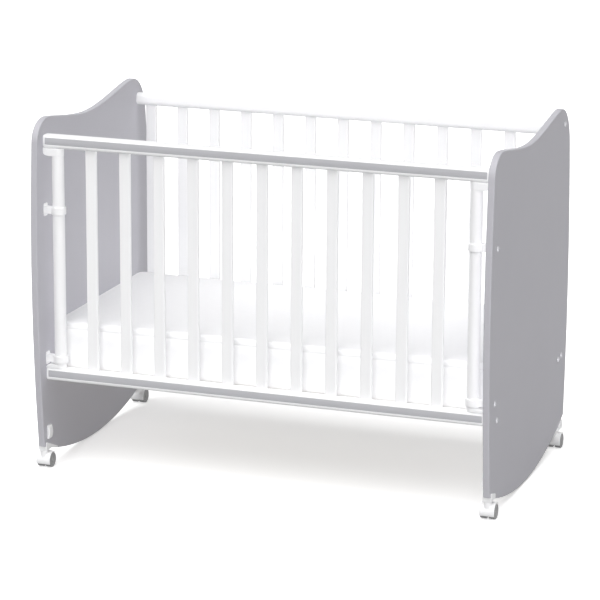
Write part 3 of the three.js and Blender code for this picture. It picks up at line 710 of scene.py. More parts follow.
class CRIB_OT_gate_rails(bpy.types.Operator):
    """Makes the two rails of the drop side and the stripes let into them"""

    bl_idname = "crib.gate_rails"
    bl_label = "Gate Rails"

    def execute(self, context):
        sizes = context.scene.crib_sizes
        for place in ("top", "bottom"):
            node, stripe = f"gate_{place}_rail", f"gate_{place}_stripe"
            low, high = span(node)
            band_low, band_high = span(stripe)
            groove = box_shell(
                (band_low[0] - FIT, low[1] - OVERRUN, band_low[2] - FIT),
                (band_high[0] + FIT, band_high[1] + FIT, band_high[2] + FIT),
            )
            bores = []
            for post in (f"gate_post_{side}" for side in SIDES):
                x, y, _ = middle_of(post)
                bores.append(bore(SPIGOT_RADIUS + FIT, x, y, *tenon_room(place, node, post)))
            cutters = groove, mortises("gate", place), join(*bores)
            rail = rail_shell(low, high, sizes.rail_edge / MM, sizes.rail_end / MM)
            dressed(f"rail_{place}_front", rail, "gate", "white_lacquer", [node], RAIL_FINISH, cutters)
            band = stripe_shell(band_low, band_high)
            dressed(f"stripe_{place}", band, "gate", "grey_inlay", [stripe], "printed_foil")
        return {"FINISHED"}


BACK_RAIL_END = 0.4


class CRIB_OT_back_rails(bpy.types.Operator):
    """Makes the two rails of the fixed back"""

    bl_idname = "crib.back_rails"
    bl_label = "Back Rails"

    def execute(self, context):
        edge = context.scene.crib_sizes.back_edge / MM
        for place in ("top", "bottom"):
            node = f"back_{place}_rail"
            rail = rail_shell(*span(node), edge, BACK_RAIL_END)
            cutters = [mortises("back", place)]
            dressed(f"rail_{place}_rear", rail, "root", "white_lacquer", [node], RAIL_FINISH, cutters)
        return {"FINISHED"}


SLAT_BODIES = {"gate": "gate", "back": "root"}
SLAT_END = 0.5


class CRIB_OT_slats(bpy.types.Operator):
    """Makes the slats of the drop side and of the fixed back"""

    bl_idname = "crib.slats"
    bl_label = "Slats"

    def execute(self, context):
        edge = context.scene.crib_sizes.slat_edge / MM
        for group, body in SLAT_BODIES.items():
            for node in sorted(slats_of(group)):
                low, high = span(node)
                x, y, _ = middle_of(node)
                outline = rounded_rectangle(high[0] - low[0], high[1] - low[1], edge, 6)
                shell = moved(prism(outline, low[2], high[2], SLAT_END, axis=Z, steps=3), (x, y, 0))
                name = node.replace("_slat_", "_upright_")
                dressed(name, shell, body, "white_lacquer", [node], UPRIGHT_FINISH)
        return {"FINISHED"}


SPIGOT_RADIUS = 9.0
POST_EASE = 1.0
SEAT = np.array([0, 0, FIT])
HUB_CORNER = (20.0, 9.5)


def hub_plan(low, high, centre, sign):
    """Hub seen from above, carried upwards: half a circle towards the slats, straight to the rail's end"""
    radius = (high[1] - low[1]) / 2
    end = outermost(low, high, sign)
    half = arc((abs(centre[0]), 0), radius, np.pi / 2, np.pi * 1.5, 32)
    outline = np.concatenate([half, [[end, -radius], [end, radius]]])
    shell = prism(outline, low[2], high[2], 0, axis=Z)
    return mirrored(moved(shell, (0, centre[1], 0)), -sign)


def hub_front(low, high, sign, rise):
    """Hub seen from the front, carried along the depth: its far corner is a curve at the rail's end"""
    end = outermost(low, high, sign)
    near = min(abs(low[0]), abs(high[0])) - OVERRUN
    root, tip = (high[2], low[2]) if rise < 0 else (low[2], high[2])
    corner = min(HUB_CORNER[1], high[2] - low[2])
    turn = (end - HUB_CORNER[0], tip)
    curve = bezier([(end, tip - rise * corner), (end, tip), turn], 12)
    start = root - rise * OVERRUN
    outline = np.concatenate([[(near, start), (end, start)], curve, [turn, (near, tip)]])
    shell = prism(outline[:, ::-1], low[1] - OVERRUN, high[1] + OVERRUN, 0, axis=Y)
    return mirrored(shell, -sign)


class CRIB_OT_posts(bpy.types.Operator):
    """Makes the two round posts of the drop side and the four hubs on them"""

    bl_idname = "crib.posts"
    bl_label = "Posts and Hubs"

    def execute(self, context):
        voxel = context.scene.crib_sizes.voxel
        for side, sign in SIDES.items():
            node = f"gate_post_{side}"
            low, high = span(node)
            centre = middle_of(node)
            radius = (high[0] - low[0]) / 2
            hubs = {place: span(f"gate_{place}_hub_{side}") for place in ("top", "bottom")}
            start, stop = hubs["bottom"][1][2] + FIT, hubs["top"][0][2] - FIT
            profile = eased([
                [0, low[2]], [SPIGOT_RADIUS, low[2]], [SPIGOT_RADIUS, start], [radius, start],
                [radius, stop], [SPIGOT_RADIUS, stop], [SPIGOT_RADIUS, high[2]], [0, high[2]],
            ], POST_EASE)
            post = moved(revolve(profile, Z, steps=64), (*centre[:2], 0))
            dressed(f"post_{side}", post, "gate", "white_lacquer", [node], UPRIGHT_FINISH, sharp_degrees=50)
            for place, rise in (("top", -1), ("bottom", 1)):
                hub_low, hub_high = hubs[place][0] - SEAT, hubs[place][1] + SEAT
                hub = new_object(f"hub_{place}_{side}", hub_plan(hub_low, hub_high, centre, sign))
                carve(hub, hub_front(hub_low, hub_high, sign, rise), operation="INTERSECT")
                mould(hub, voxel, passes=2)
                ends = hub_low[2] - OVERRUN, hub_high[2] + OVERRUN
                carve(hub, bore(SPIGOT_RADIUS + FIT, *centre[:2], *ends))
                in_nylon(hub, "gate", f"gate_{place}_hub_{side}")
        return {"FINISHED"}


GUIDE_FLANGE = (22.0, 34.0)
GUIDE_FLANGE_CORNER = 5.0
GUIDE_FLANGE_THICKNESS = 3.0
GUIDE_ARM_WIDTHS = (20.0, 17.0)
GUIDE_BORE_RADIUS = 16.25
GUIDE_WALL = 3.25
GUIDE_RIM = 1.2
GUIDE_RIM_EASE = 1.6 * GUIDE_RIM
GUIDE_RING_HEIGHT = 20.0


def guide_shells(post, height, panel_x, edge):
    """A flange on the panel, an arm that narrows towards the post, and a barrel round the post"""
    face = rounded_rectangle(*GUIDE_FLANGE, GUIDE_FLANGE_CORNER)
    flange = prism(face, panel_x, panel_x + GUIDE_FLANGE_THICKNESS, edge)
    start, stop = panel_x + GUIDE_FLANGE_THICKNESS / 2, post[0] - GUIDE_BORE_RADIUS - GUIDE_WALL / 2
    wide, slim = (width / 2 for width in GUIDE_ARM_WIDTHS)
    near = bezier([(start, -wide), ((start + stop) / 2, -slim), (stop, -slim)], 10)
    far = bezier([(stop, slim), ((start + stop) / 2, slim), (start, wide)], 10)
    plan = np.concatenate([near, [[stop, -slim]], far, [[start, wide]]])
    arm_half = (GUIDE_RING_HEIGHT - GUIDE_RIM) / 2
    arm = prism(plan, height - arm_half, height + arm_half, edge, axis=Z)
    outer, half = GUIDE_BORE_RADIUS + GUIDE_WALL, GUIDE_RING_HEIGHT / 2
    barrel = revolve(eased([[0, -half], [outer, -half], [outer, half], [0, half]], GUIDE_RIM_EASE), Z, 64)
    return join(
        moved(flange, (0, post[1], height)), moved(arm, (0, post[1], 0)), moved(barrel, (*post[:2], height))
    )


STOP_TIP_REACH = 5.0
STOP_BULGE_SHARE = 0.45
STOP_EDGE = 2.0


def stop_shell(low, high, sign):
    """A block on the panel, seen along the depth: full below its middle and drawn in at both ends"""
    reach, tall = high[0] - low[0], high[2] - low[2]
    bulge = tall * STOP_BULGE_SHARE
    curve = np.concatenate([
        bezier([(STOP_TIP_REACH, 0), (reach, bulge / 2), (reach, bulge)], 12),
        bezier([(reach, bulge), (reach, (tall + bulge) / 2), (STOP_TIP_REACH, tall)], 12),
        [(STOP_TIP_REACH, tall), (0, tall), (0, 0)],
    ])
    shell = prism(curve[::-1, ::-1], low[1], high[1], STOP_EDGE, axis=Y)
    return mirrored(moved(shell, (-outermost(low, high, sign), 0, low[2])), sign)


class CRIB_OT_guides(bpy.types.Operator):
    """Makes the four guides of the drop side and the two stops under it"""

    bl_idname = "crib.guides"
    bl_label = "Guides and Stops"

    def execute(self, context):
        sizes = context.scene.crib_sizes
        post = middle_of("gate_post_left")
        for side, sign in SIDES.items():
            for place in ("upper", "lower"):
                node = f"gate_guide_{place}_{side}"
                low, high = span(node)
                height = middle_of(node)[2]
                shell = guide_shells(post, height, -outermost(low, high, sign), sizes.plastic_edge / MM)
                piece = new_object(f"guide_{place}_{side}", mirrored(shell, sign))
                mould(piece, sizes.voxel)
                ends = height - GUIDE_RING_HEIGHT, height + GUIDE_RING_HEIGHT
                carve(piece, bore(GUIDE_BORE_RADIUS, sign * abs(post[0]), post[1], *ends, 64))
                in_nylon(piece, "root", node)
            node = f"gate_stop_{side}"
            stop = stop_shell(*span(node), sign)
            dressed(
                f"stop_{side}", stop, "root", "white_plastic", [node], "moulded_white_nylon", sharp_degrees=50
            )
        return {"FINISHED"}


BASE_EDGE = 1.0


class CRIB_OT_base(bpy.types.Operator):
    """Gives the bearers and the slatted base eased edges and bare beech"""

    bl_idname = "crib.base"
    bl_label = "Base"

    def execute(self, context):
        woods = {
            "base_bearer_front": "bare_beech_lengthwise",
            "base_bearer_rear": "bare_beech_lengthwise",
            "base_slats": "bare_beech_crosswise",
        }
        for node, wood in woods.items():
            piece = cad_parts[node]
            piece.data.materials.clear()
            piece.data.materials.append(finish(wood))
            weld = piece.modifiers.new("weld", "WELD")
            weld.merge_threshold = 0.01 * MM
            ease = piece.modifiers.new("ease", "BEVEL")
            ease.width = BASE_EDGE * MM
            ease.segments = 3
            ease.limit_method = "ANGLE"
            ease.angle_limit = math.radians(60)
        return {"FINISHED"}


MATTRESS_STEPS = (120, 60)
EDGE_STEPS = 6
GROOVE_STEPS = 6
BAND_STEPS = 13
MATTRESS_CORNER = 36.0
MATTRESS_CROWN = 5.0
MATTRESS_DRAW = 3.0
MATTRESS_SLACK = 1.5
TOP_SEAM_DROP = 18.7
SOLE_ROLL = 3.0
SEAM_HALF_WIDTH = 3.0
COVER_CAP = 2.0


def rounded_plan(x, y, half_x, half_y, radius):
    """Moves points of a rectangle into one with round corners: in each corner square the larger of the
    two offsets becomes the radius and their ratio the angle"""
    corner_x, corner_y = half_x - radius, half_y - radius
    over_x, over_y = np.abs(x) - corner_x, np.abs(y) - corner_y
    inside = (over_x > 0) & (over_y > 0)
    reach = np.maximum(over_x, over_y)
    ratio = np.minimum(over_x, over_y) / np.maximum(reach, 1e-9)
    angle = np.where(over_x >= over_y, np.pi / 4 * ratio, np.pi / 2 - np.pi / 4 * ratio)
    new_x = np.where(inside, np.sign(x) * (corner_x + reach * np.cos(angle)), x)
    new_y = np.where(inside, np.sign(y) * (corner_y + reach * np.sin(angle)), y)
    return new_x, new_y


def spread(half, count, edge):
    """Places from minus half to half, with the edge steps of each end inside the edge"""
    ends = np.linspace(0, 1, EDGE_STEPS + 1)[:-1] * edge
    middle = np.linspace(edge, 2 * half - edge, count - 2 * EDGE_STEPS + 1)
    return np.concatenate([ends, middle, (2 * half - ends)[::-1]]) - half


def mattress_shell(low, high, roll, seam):
    """A mattress and the height of its seam: a grid on each broad face and a band round its side. From
    the rim inwards the upper face rises as a quarter circle of the roll's radius and then by a crown of
    the fourth power, and the sole sinks by a smaller circle; the band draws in between its corners and
    at the seam below the roll"""
    half_x, half_y, _ = (high - low) / 2 - MATTRESS_SLACK
    bottom, top = low[2], high[2] - MATTRESS_CROWN
    x, y = np.meshgrid(
        spread(half_x, MATTRESS_STEPS[0], roll), spread(half_y, MATTRESS_STEPS[1], roll), indexing="ij"
    )
    depth = np.minimum(half_x - np.abs(x), half_y - np.abs(y))
    sag, sole_sag = (
        size - np.sqrt(np.maximum(size ** 2 - np.maximum(size - depth, 0) ** 2, 0))
        for size in (roll, SOLE_ROLL)
    )
    crown = MATTRESS_CROWN * (1 - (x / half_x) ** 4) * (1 - (y / half_y) ** 4)
    plan_x, plan_y = rounded_plan(x, y, half_x, half_y, MATTRESS_CORNER)
    pull = np.where(depth < roll, 1 - depth / roll, 0) * MATTRESS_DRAW
    bow_x = np.cos(np.pi / 2 * x / half_x) * np.sign(y) * pull * (half_y - np.abs(y) <= depth)
    bow_y = np.cos(np.pi / 2 * y / half_y) * np.sign(x) * pull * (half_x - np.abs(x) <= depth)
    plan_x, plan_y = plan_x - bow_y, plan_y - bow_x
    upper = np.stack([plan_x, plan_y, top - sag + crown], -1)
    lower = np.stack([plan_x, plan_y, bottom + sole_sag], -1)
    rim = np.concatenate([upper[:-1, 0], upper[-1, :-1], upper[:0:-1, -1], upper[0, :0:-1]])
    seam_height = top - TOP_SEAM_DROP
    groove = seam_height + np.linspace(-1, 1, GROOVE_STEPS + 1) * SEAM_HALF_WIDTH
    side = np.linspace(bottom + SOLE_ROLL, groove[0], BAND_STEPS + 1)
    heights = np.unique(np.round(np.concatenate([side, groove, [top - roll]]), 3))
    near = np.abs(heights - seam_height)
    draw = seam * np.cos(np.pi / 2 * np.minimum(near / SEAM_HALF_WIDTH, 1)) ** 2
    outward = rim[:, :2] - np.roll(rim[:, :2], 1, 0)
    outward = outward + np.roll(outward, -1, 0)
    outward = np.stack([outward[:, 1], -outward[:, 0]], 1)
    outward = outward / np.linalg.norm(outward, axis=1, keepdims=True)
    band = np.empty((len(heights), len(rim), 3))
    band[..., :2] = rim[None, :, :2] - draw[:, None, None] * outward[None]
    band[..., 2] = heights[:, None]
    faces = quads(*x.shape, close_columns=False)
    shell = join(
        (upper.reshape(-1, 3), faces), (lower.reshape(-1, 3), faces),
        (band.reshape(-1, 3), quads(*band.shape[:2])),
    )
    return moved(shell, (*(low + high)[:2] / 2, 0)), seam_height


def points_of(mesh):
    """Places of a mesh's points, in metres"""
    points = np.empty(len(mesh.vertices) * 3)
    mesh.vertices.foreach_get("co", points)
    return points.reshape(-1, 3)


def place_points(mesh, points):
    """Moves a mesh's points to new places, in metres"""
    mesh.vertices.foreach_set("co", points.astype(np.float32).ravel())
    mesh.update()


def swell(piece, held, frames, cap):
    """Lets the cover swell round its filling: a cloth under pressure, held at some points, each point
    moving no further than the cap, and the result kept as the mesh"""
    before = points_of(piece.data)
    group = piece.vertex_groups.new(name="held")
    group.add(np.nonzero(held)[0].tolist(), 1.0, "REPLACE")
    settings = piece.modifiers.new("swell", "CLOTH").settings
    settings.quality = 5
    settings.mass = 0.3
    settings.use_pressure = True
    settings.uniform_pressure_force = 4.0
    settings.vertex_group_mass = group.name
    settings.pin_stiffness = 1.0
    settings.shrink_min = -0.006
    settings.effector_weights.gravity = 0.0
    scene = bpy.context.scene
    for number in range(1, frames + 1):
        scene.frame_set(number)
    keep_result(piece)
    step = points_of(piece.data) - before
    reach = np.linalg.norm(step, axis=1, keepdims=True)
    place_points(piece.data, before + step * np.minimum(1, cap / np.maximum(reach, 1e-12)))
    piece.vertex_groups.clear()
    scene.frame_set(1)


class CRIB_OT_mattress(bpy.types.Operator):
    """Makes the mattress, swollen by a cloth simulation, with a seam round its upper edge"""

    bl_idname = "crib.mattress"
    bl_label = "Mattress"

    def execute(self, context):
        sizes = context.scene.crib_sizes
        low, high = span("mattress")
        shell, seam_height = mattress_shell(low, high, sizes.roll / MM, sizes.seam / MM)
        piece = new_object("mattress_cover", shell)
        height = points_of(piece.data)[:, 2] / MM
        held = (np.abs(height - seam_height) < SEAM_HALF_WIDTH / 2) | (height < low[2] + FIT)
        swell(piece, held, sizes.cloth_frames, COVER_CAP * MM)
        place_points(piece.data, np.clip(points_of(piece.data), low * MM, high * MM))
        finer = piece.modifiers.new("finer", "SUBSURF")
        finer.levels = finer.render_levels = 1
        shade(piece, sharp_degrees=80, weighted=False)
        dress(piece, "mattress", "mattress_cover", ["mattress"], finish("woven_polyester_cover"))
        return {"FINISHED"}


WHEEL_RADIUS = 20.0
WHEEL_INNER = 3.1
WHEEL_OUTER = 19.6
AXLE_RADIUS = 3.0
TYRE_DEPTH = 3.2
DISH_DEPTH = 1.4
HUB_RADIUS = 6.5
HUB_PROUD = 0.8
HOOD_INNER = 20.8
HOOD_WALL = 3.0
HOOD_START = 55.0
HOOD_STOP = 202.0
WEB_HALF = 2.5
SWIVEL_RADIUS = 10.0
STEM_RADIUS = 4.0
CASTER_TRAIL = 12.0
AXLE_BOSS_RADIUS = 6.5
CASTER_EDGE = 1.0
HOOD_END = 1.2
HOOD_END_STEPS = 4
HOOD_STEPS = 36
WHEEL_EASE = 2.0


def wheel_shell():
    """Two wheels on an axle along X, turned from one profile: a hub cap, a dished disc and a rounded tyre"""
    rim = WHEEL_RADIUS - TYRE_DEPTH
    dish, cap = WHEEL_OUTER - DISH_DEPTH, WHEEL_OUTER + HUB_PROUD
    half = [
        [AXLE_RADIUS, WHEEL_INNER], [WHEEL_RADIUS, WHEEL_INNER], [WHEEL_RADIUS, WHEEL_OUTER],
        [rim, WHEEL_OUTER], [rim - DISH_DEPTH, dish], [HUB_RADIUS, dish], [HUB_RADIUS, cap], [0, cap],
    ]
    opposite = [[radius, -place] for radius, place in reversed(half)]
    return revolve(eased(opposite + half, WHEEL_EASE, 6), X, steps=96)


def hood_shells(boss_top, stem_top):
    """A curved roof over the wheels, bent from a flat bar: its length becomes an angle and its thickness a
    radius; a web between the wheels, a boss on the web for the axle, and the swivel boss with its stem"""
    start, stop = math.radians(HOOD_START), math.radians(HOOD_STOP)
    outer = HOOD_INNER + HOOD_WALL
    middle = HOOD_INNER + HOOD_WALL / 2
    section = rounded_rectangle(2 * WHEEL_OUTER, HOOD_WALL, CASTER_EDGE, 4)
    bar = prism(section, start * middle, stop * middle, HOOD_END, steps=HOOD_END_STEPS)
    near, far = bar[0].reshape(2, HOOD_END_STEPS, len(section), 3)
    share = np.linspace(0, 1, HOOD_STEPS)[:, None, None]
    body = near[-1] * (1 - share) + far[0] * share
    rings = np.concatenate([near[:-1], body, far[1:]])
    angle = rings[..., 0] / middle
    radius = middle + rings[..., 2]
    roof = loft(np.stack([rings[..., 1], radius * np.cos(angle), radius * np.sin(angle)], -1))
    fan = np.concatenate([[(0, 0)], arc((0, 0), outer - CASTER_EDGE, start, stop, 48)])
    web = prism(fan, -WEB_HALF, WEB_HALF, 0)
    axle_boss = prism(circle(AXLE_BOSS_RADIUS, 32), -WEB_HALF, WEB_HALF, 0)
    swivel = prism(circle(SWIVEL_RADIUS), 0, boss_top, CASTER_EDGE, axis=Z)
    stem = prism(circle(STEM_RADIUS, 32), 0, stem_top, CASTER_EDGE, axis=Z)
    offset = (0, -CASTER_TRAIL, 0)
    return join(roof, web, axle_boss, moved(swivel, offset), moved(stem, offset))


SHOE_INNER_REACH = 14.0
SHOE_OUTER_REACH = {"front": 10.0, "rear": 40.0}
SHOE_SEAT = 49.5
SHOE_CHEEK = 3.0
SHOE_CHEEK_TOP = 72.0
SHOE_CHEEK_LENGTH = 38.0
SHOE_CHEEK_FALL = 10.0
SHOE_TONGUE = 70.0
SHOE_TONGUE_TIP = 5.0
SHOE_CORNER = 4.0


def shoe_shells(corner, side, edge):
    """A block that fills the room between the seat and the rocker arc, a short cheek on the outer face of
    the panel and a long one on its inner face that narrows to a tongue along the arc"""
    sign, inwards = SIDES[side], -ENDS[corner]
    panel_low, panel_high = span(f"end_panel_{side}")
    stem = STEMS_Y[corner]
    outer_y = stem - inwards * SHOE_OUTER_REACH[corner]
    inner_y = stem + inwards * SHOE_INNER_REACH
    radius = ROCKER_RADIUS + FIT
    ends = (rocker_angle(y, radius) for y in (inner_y, outer_y))
    top = arc((ROCKER_Y, rocker_centre()), radius, *ends, 24)
    block = np.concatenate([[(outer_y, SHOE_SEAT), (inner_y, SHOE_SEAT)], top])
    far = outer_y + inwards * SHOE_CHEEK_LENGTH
    turn = (outer_y, SHOE_CHEEK_TOP - SHOE_CORNER)
    crown = bezier([(outer_y + inwards * SHOE_CORNER, SHOE_CHEEK_TOP), (outer_y, SHOE_CHEEK_TOP), turn], 6)
    crown = np.concatenate([crown, [turn]])
    short = np.concatenate([
        [(outer_y, SHOE_SEAT), (far, SHOE_SEAT), (far, SHOE_CHEEK_TOP - SHOE_CHEEK_FALL)], crown,
    ])
    tip = outer_y + inwards * SHOE_TONGUE
    under = np.array([[y, rocker_height(y)] for y in np.linspace(inner_y, tip, 8)])
    under[0, 1] = SHOE_SEAT
    long = np.concatenate([
        [(outer_y, SHOE_SEAT)], under, [(tip, rocker_height(tip) + SHOE_TONGUE_TIP)], crown,
    ])
    middle = (panel_low[0] + panel_high[0]) / 2
    face = (panel_high[0] - panel_low[0]) / 2 + FIT
    shells = [prism(turned(block), middle - face - SHOE_CHEEK / 2, middle + face + SHOE_CHEEK / 2, edge)]
    for facing, outline in ((1, short), (-1, long)):
        near, beyond = sorted((facing * sign * face, facing * sign * (face + SHOE_CHEEK)))
        shells.append(prism(turned(outline), middle + near, middle + beyond, edge))
    return join(*shells)


def turned(outline):
    """An outline in counterclockwise order"""
    x, y = outline.T
    area = (x * np.roll(y, -1) - np.roll(x, -1) * y).sum()
    return outline if area > 0 else outline[::-1]


HOOD_GAP = 0.6
SHOE_VOXEL_SHARE = 1.2


class CRIB_OT_casters(bpy.types.Operator):
    """Makes the four casters: a shoe on the panel, a hood that swivels and a pair of wheels"""

    bl_idname = "crib.casters"
    bl_label = "Casters"

    def execute(self, context):
        sizes = context.scene.crib_sizes
        edge = sizes.plastic_edge / MM
        stem_top = span("caster_hood_front_left")[1][2] - WHEEL_RADIUS
        hood = new_object("hood", hood_shells(SHOE_SEAT - HOOD_GAP - WHEEL_RADIUS, stem_top))
        mould(hood, sizes.voxel, passes=2)
        room = WHEEL_OUTER + OVERRUN
        disc = circle(HOOD_INNER, 96)
        rooms = join(prism(disc, WEB_HALF, room, 0), prism(disc, -room, -WEB_HALF, 0))
        carve(hood, rooms, prism(circle(AXLE_RADIUS + FIT, 32), -room, room, 0))
        for corner, stem in STEMS_Y.items():
            for side in SIDES:
                place = f"{corner}_{side}"
                x = middle_of(f"end_panel_{side}")[0]
                shoe = new_object(f"shoe_{place}", shoe_shells(corner, side, edge))
                mould(shoe, sizes.voxel * SHOE_VOXEL_SHARE, passes=2)
                carve(shoe, stem_bore(x, stem, SHOE_SEAT - OVERRUN))
                in_nylon(shoe, "root", f"caster_shoe_{place}")
                axle = Matrix.Translation((x * MM, (stem + CASTER_TRAIL) * MM, WHEEL_RADIUS * MM))
                cover = bpy.data.objects.new(f"hood_{place}", hood.data.copy())
                cover.data.transform(axle)
                context.scene.collection.objects.link(cover)
                in_nylon(cover, f"swivel_{place}", f"caster_hood_{place}")
                wheels = new_object(f"wheels_{place}", wheel_shell())
                mark_tyres(wheels.data)
                wheels.data.transform(axle)
                shade(wheels, sharp_degrees=40)
                dress(
                    wheels, f"wheels_{place}", "wheel_plastic", [f"caster_wheels_{place}"],
                    finish("moulded_grey_nylon"), finish("grey_tyre_rubber"),
                )
        discard(hood)
        return {"FINISHED"}


def mark_tyres(mesh):
    """Gives the faces beyond the rim the second material"""
    centres = np.empty(len(mesh.polygons) * 3)
    mesh.polygons.foreach_get("center", centres)
    reach = np.linalg.norm(centres.reshape(-1, 3)[:, 1:], axis=1) / MM
    mesh.polygons.foreach_set("material_index", (reach > WHEEL_RADIUS - TYRE_DEPTH).astype(np.int32))


BOLT_PLACES = (
    (-329.0, 702.0), (-325.0, 302.0), (-302.0, 253.0), (300.0, 901.0), (296.0, 255.0), (326.0, 260.0),
)
BOLT_PROUD = 2.6
BOLT_ROOT = 0.5
BOLT_DRAW = 0.6
DOME_ANGLE = 0.72 * math.pi / 2
SOCKET_RADIUS = 2.9
SOCKET_DEPTH = 1.8
SOCKET_CHAMFER = (0.35, 0.4)


def bolt_shell(radius):
    """A low domed head with a six-sided socket: rings of a quarter ellipse, then rings whose radius is the
    socket's over the cosine of the angle to the nearest flat"""
    ones = np.ones(48)
    angle = np.arange(len(ones)) * 2 * np.pi / len(ones)
    to_flat = (angle + np.pi / 6) % (np.pi / 3) - np.pi / 6
    socket = SOCKET_RADIUS * math.cos(math.pi / 6) / np.cos(to_flat)
    rise = np.linspace(0, 1, 9) * DOME_ANGLE
    dome = radius * np.cos(rise)
    heights = BOLT_PROUD * np.sin(rise) / math.sin(DOME_ANGLE)
    wide, deep = SOCKET_CHAMFER
    rim = [socket + wide, socket, socket]
    radii = np.concatenate([[(radius - BOLT_DRAW) * ones], dome[:, None] * ones, rim])
    floors = [BOLT_PROUD, BOLT_PROUD - deep, BOLT_PROUD - SOCKET_DEPTH]
    levels = np.concatenate([[-BOLT_ROOT], heights, floors])
    return loft(np.stack([levels[:, None] * ones, radii * np.cos(angle), radii * np.sin(angle)], -1))


class CRIB_OT_bolts(bpy.types.Operator):
    """Sets the bolt heads on the outer faces of the end panels"""

    bl_idname = "crib.bolts"
    bl_label = "Bolt Heads"

    def execute(self, context):
        radius = context.scene.crib_sizes.bolt / MM
        for side, sign in SIDES.items():
            face = outermost(*span(f"end_panel_{side}"), sign)
            heads = mirrored(join(*[moved(bolt_shell(radius), (face, y, z)) for y, z in BOLT_PLACES]), -sign)
            dressed(
                f"bolts_{side}", heads, "root", "white_plastic", [], "zinc_plated_steel", sharp_degrees=40
            )
        return {"FINISHED"}


CAMERA_PLACE = (2.5390, -7.1583, 2.4044)
CAMERA_RIGHT = (0.94139, 0.33727, 0.00567)
CAMERA_UP = (-0.08985, 0.23450, 0.96796)
CAMERA_LENS = 177.06
SENSOR_WIDTH = 36.0
CAMERA_REACH = 200.0
WHITE = (1, 1, 1, 1)
FLOOR_HALF = 60.0
FLOOR_SHOWN = 0.98
FLOOR_SPREAD = 0.18
FLOOR_GLOW = 0.50
KEY_LIGHT = (-0.11, -0.34, 0.88)
KEY_SPREAD = 72.0
FILL_LIGHT = (0.35, -0.12, 0.0)
FILL_SPREAD = 20.0
REAR_LIGHT = (-0.22, 0.28, 0.0)
FRONT_LIGHT = (0.0, -0.57, 0.04)
FRONT_SPREAD = 50.0
SKY_STRENGTH = 0.08


def shown(tree):
    """One for rays from the camera, mirrors and glass, and nought for the light that a face spreads"""
    rays = add(tree, "ShaderNodeLightPath").outputs
    kinds = ("Is Camera Ray", "Is Glossy Ray", "Is Transmission Ray")
    return combine(tree, "MAXIMUM", [rays[kind] for kind in kinds])


def floor_material():
    """Matt studio floor that shows white outside the soft shadow of the crib, and throws little light up"""
    material, tree, shader, _ = new_material("matt_studio_floor")
    seen = shown(tree)
    dim, bright = (*[FLOOR_SPREAD] * 3, 1), (*[FLOOR_SHOWN] * 3, 1)
    tone = add(tree, "ShaderNodeMix", {"data_type": "RGBA", 6: dim, 7: bright}, {0: seen})
    glow = add(tree, "ShaderNodeMath", {"operation": "MULTIPLY", 1: FLOOR_GLOW}, {0: seen})
    tree.links.new(tone.outputs[2], shader.inputs["Base Color"])
    tree.links.new(glow.outputs[0], shader.inputs["Emission Strength"])
    shader.inputs["Emission Color"].default_value = WHITE
    shader.inputs["Roughness"].default_value = 1.0
    shader.inputs["Specular IOR Level"].default_value = 0.0
    return material


def sky():
    """Even white surroundings that light the crib softly and show as white"""
    world = bpy.data.worlds.new("studio")
    bpy.context.scene.world = world
    world.use_nodes = True
    tree = world.node_tree
    tree.nodes.clear()
    light = add(tree, "ShaderNodeBackground", {"Color": WHITE, "Strength": SKY_STRENGTH})
    white = add(tree, "ShaderNodeBackground", {"Color": WHITE, "Strength": 1.0})
    mix = add(tree, "ShaderNodeMixShader", links={0: shown(tree), 1: light.outputs[0], 2: white.outputs[0]})
    add(tree, "ShaderNodeOutputWorld", links={"Surface": mix.outputs[0]})


def sun(name, light, spread_degrees, shadow):
    """A far lamp. Its light is a vector towards the lamp whose parts are what matt faces that look along
    each axis get from it, as shares of full white"""
    lamp = bpy.data.lights.new(name, "SUN")
    lamp.energy = math.pi * Vector(light).length
    lamp.angle = math.radians(spread_degrees)
    lamp.use_shadow = shadow
    holder = bpy.data.objects.new(name, lamp)
    holder.rotation_mode = "QUATERNION"
    holder.rotation_quaternion = Vector(light).to_track_quat("Z", "Y")
    bpy.context.scene.collection.objects.link(holder)


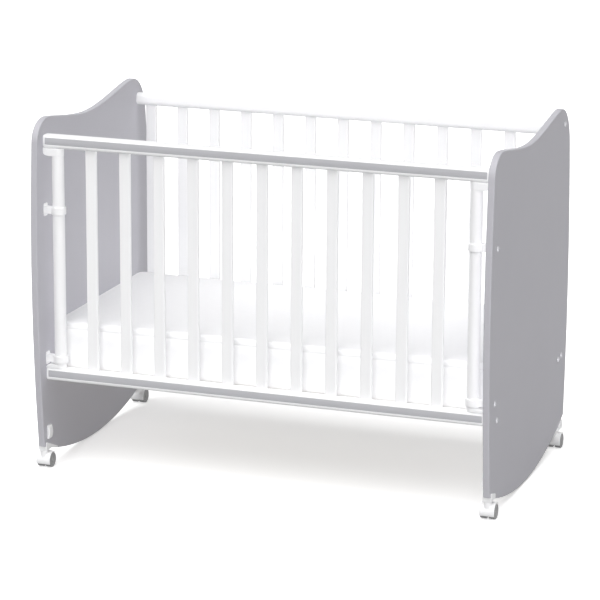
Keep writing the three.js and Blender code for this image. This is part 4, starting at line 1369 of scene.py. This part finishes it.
class CRIB_OT_stage(bpy.types.Operator):
    """Makes the floor, the light and the camera"""

    bl_idname = "crib.stage"
    bl_label = "Stage"

    def execute(self, context):
        corners = np.array([[-1, -1, 0], [1, -1, 0], [1, 1, 0], [-1, 1, 0]]) * FLOOR_HALF / MM
        floor = new_object("floor", (corners, [[0, 1, 2, 3]]))
        floor.data.materials.append(floor_material())
        sky()
        sun("key", KEY_LIGHT, KEY_SPREAD, True)
        sun("fill", FILL_LIGHT, FILL_SPREAD, False)
        sun("rear fill", REAR_LIGHT, FILL_SPREAD, False)
        sun("front", FRONT_LIGHT, FRONT_SPREAD, True)
        camera = bpy.data.cameras.new("camera")
        camera.lens = CAMERA_LENS
        camera.sensor_width = SENSOR_WIDTH
        camera.clip_end = CAMERA_REACH
        holder = bpy.data.objects.new("camera", camera)
        right, up = np.array(CAMERA_RIGHT), np.array(CAMERA_UP)
        turn = Matrix(np.stack([right, up, np.cross(right, up)], 1).tolist()).to_4x4()
        holder.matrix_world = Matrix.Translation(CAMERA_PLACE) @ turn
        context.scene.collection.objects.link(holder)
        context.scene.camera = holder
        context.scene.view_settings.view_transform = "Standard"
        return {"FINISHED"}


OPERATORS = (
    CRIB_OT_stage, CRIB_OT_end_panels, CRIB_OT_gate_rails, CRIB_OT_slats, CRIB_OT_posts, CRIB_OT_guides,
    CRIB_OT_back_rails, CRIB_OT_base, CRIB_OT_mattress, CRIB_OT_casters, CRIB_OT_bolts,
)


class CRIB_PT_sidebar(bpy.types.Panel):
    """Lists the steps and what can be set"""

    bl_idname = "CRIB_PT_sidebar"
    bl_label = "Crib"
    bl_space_type = "VIEW_3D"
    bl_region_type = "UI"
    bl_category = "Crib"

    def draw(self, context):
        for group in (context.scene.crib_colours, context.scene.crib_sizes):
            for name in group.__annotations__:
                self.layout.prop(group, name)
        for operator in OPERATORS:
            self.layout.operator(operator.bl_idname)


CLASSES = (CribColours, CribSizes, *OPERATORS, CRIB_PT_sidebar)


def register():
    for item in CLASSES:
        bpy.utils.register_class(item)
    bpy.types.Scene.crib_colours = PointerProperty(type=CribColours)
    bpy.types.Scene.crib_sizes = PointerProperty(type=CribSizes)


def unregister():
    del bpy.types.Scene.crib_sizes
    del bpy.types.Scene.crib_colours
    for item in reversed(CLASSES):
        bpy.utils.unregister_class(item)


def main():
    """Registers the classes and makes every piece"""
    register()
    for operator in OPERATORS:
        getattr(bpy.ops.crib, operator.bl_idname.split(".")[1])()


if __name__ == "__main__":
    main()
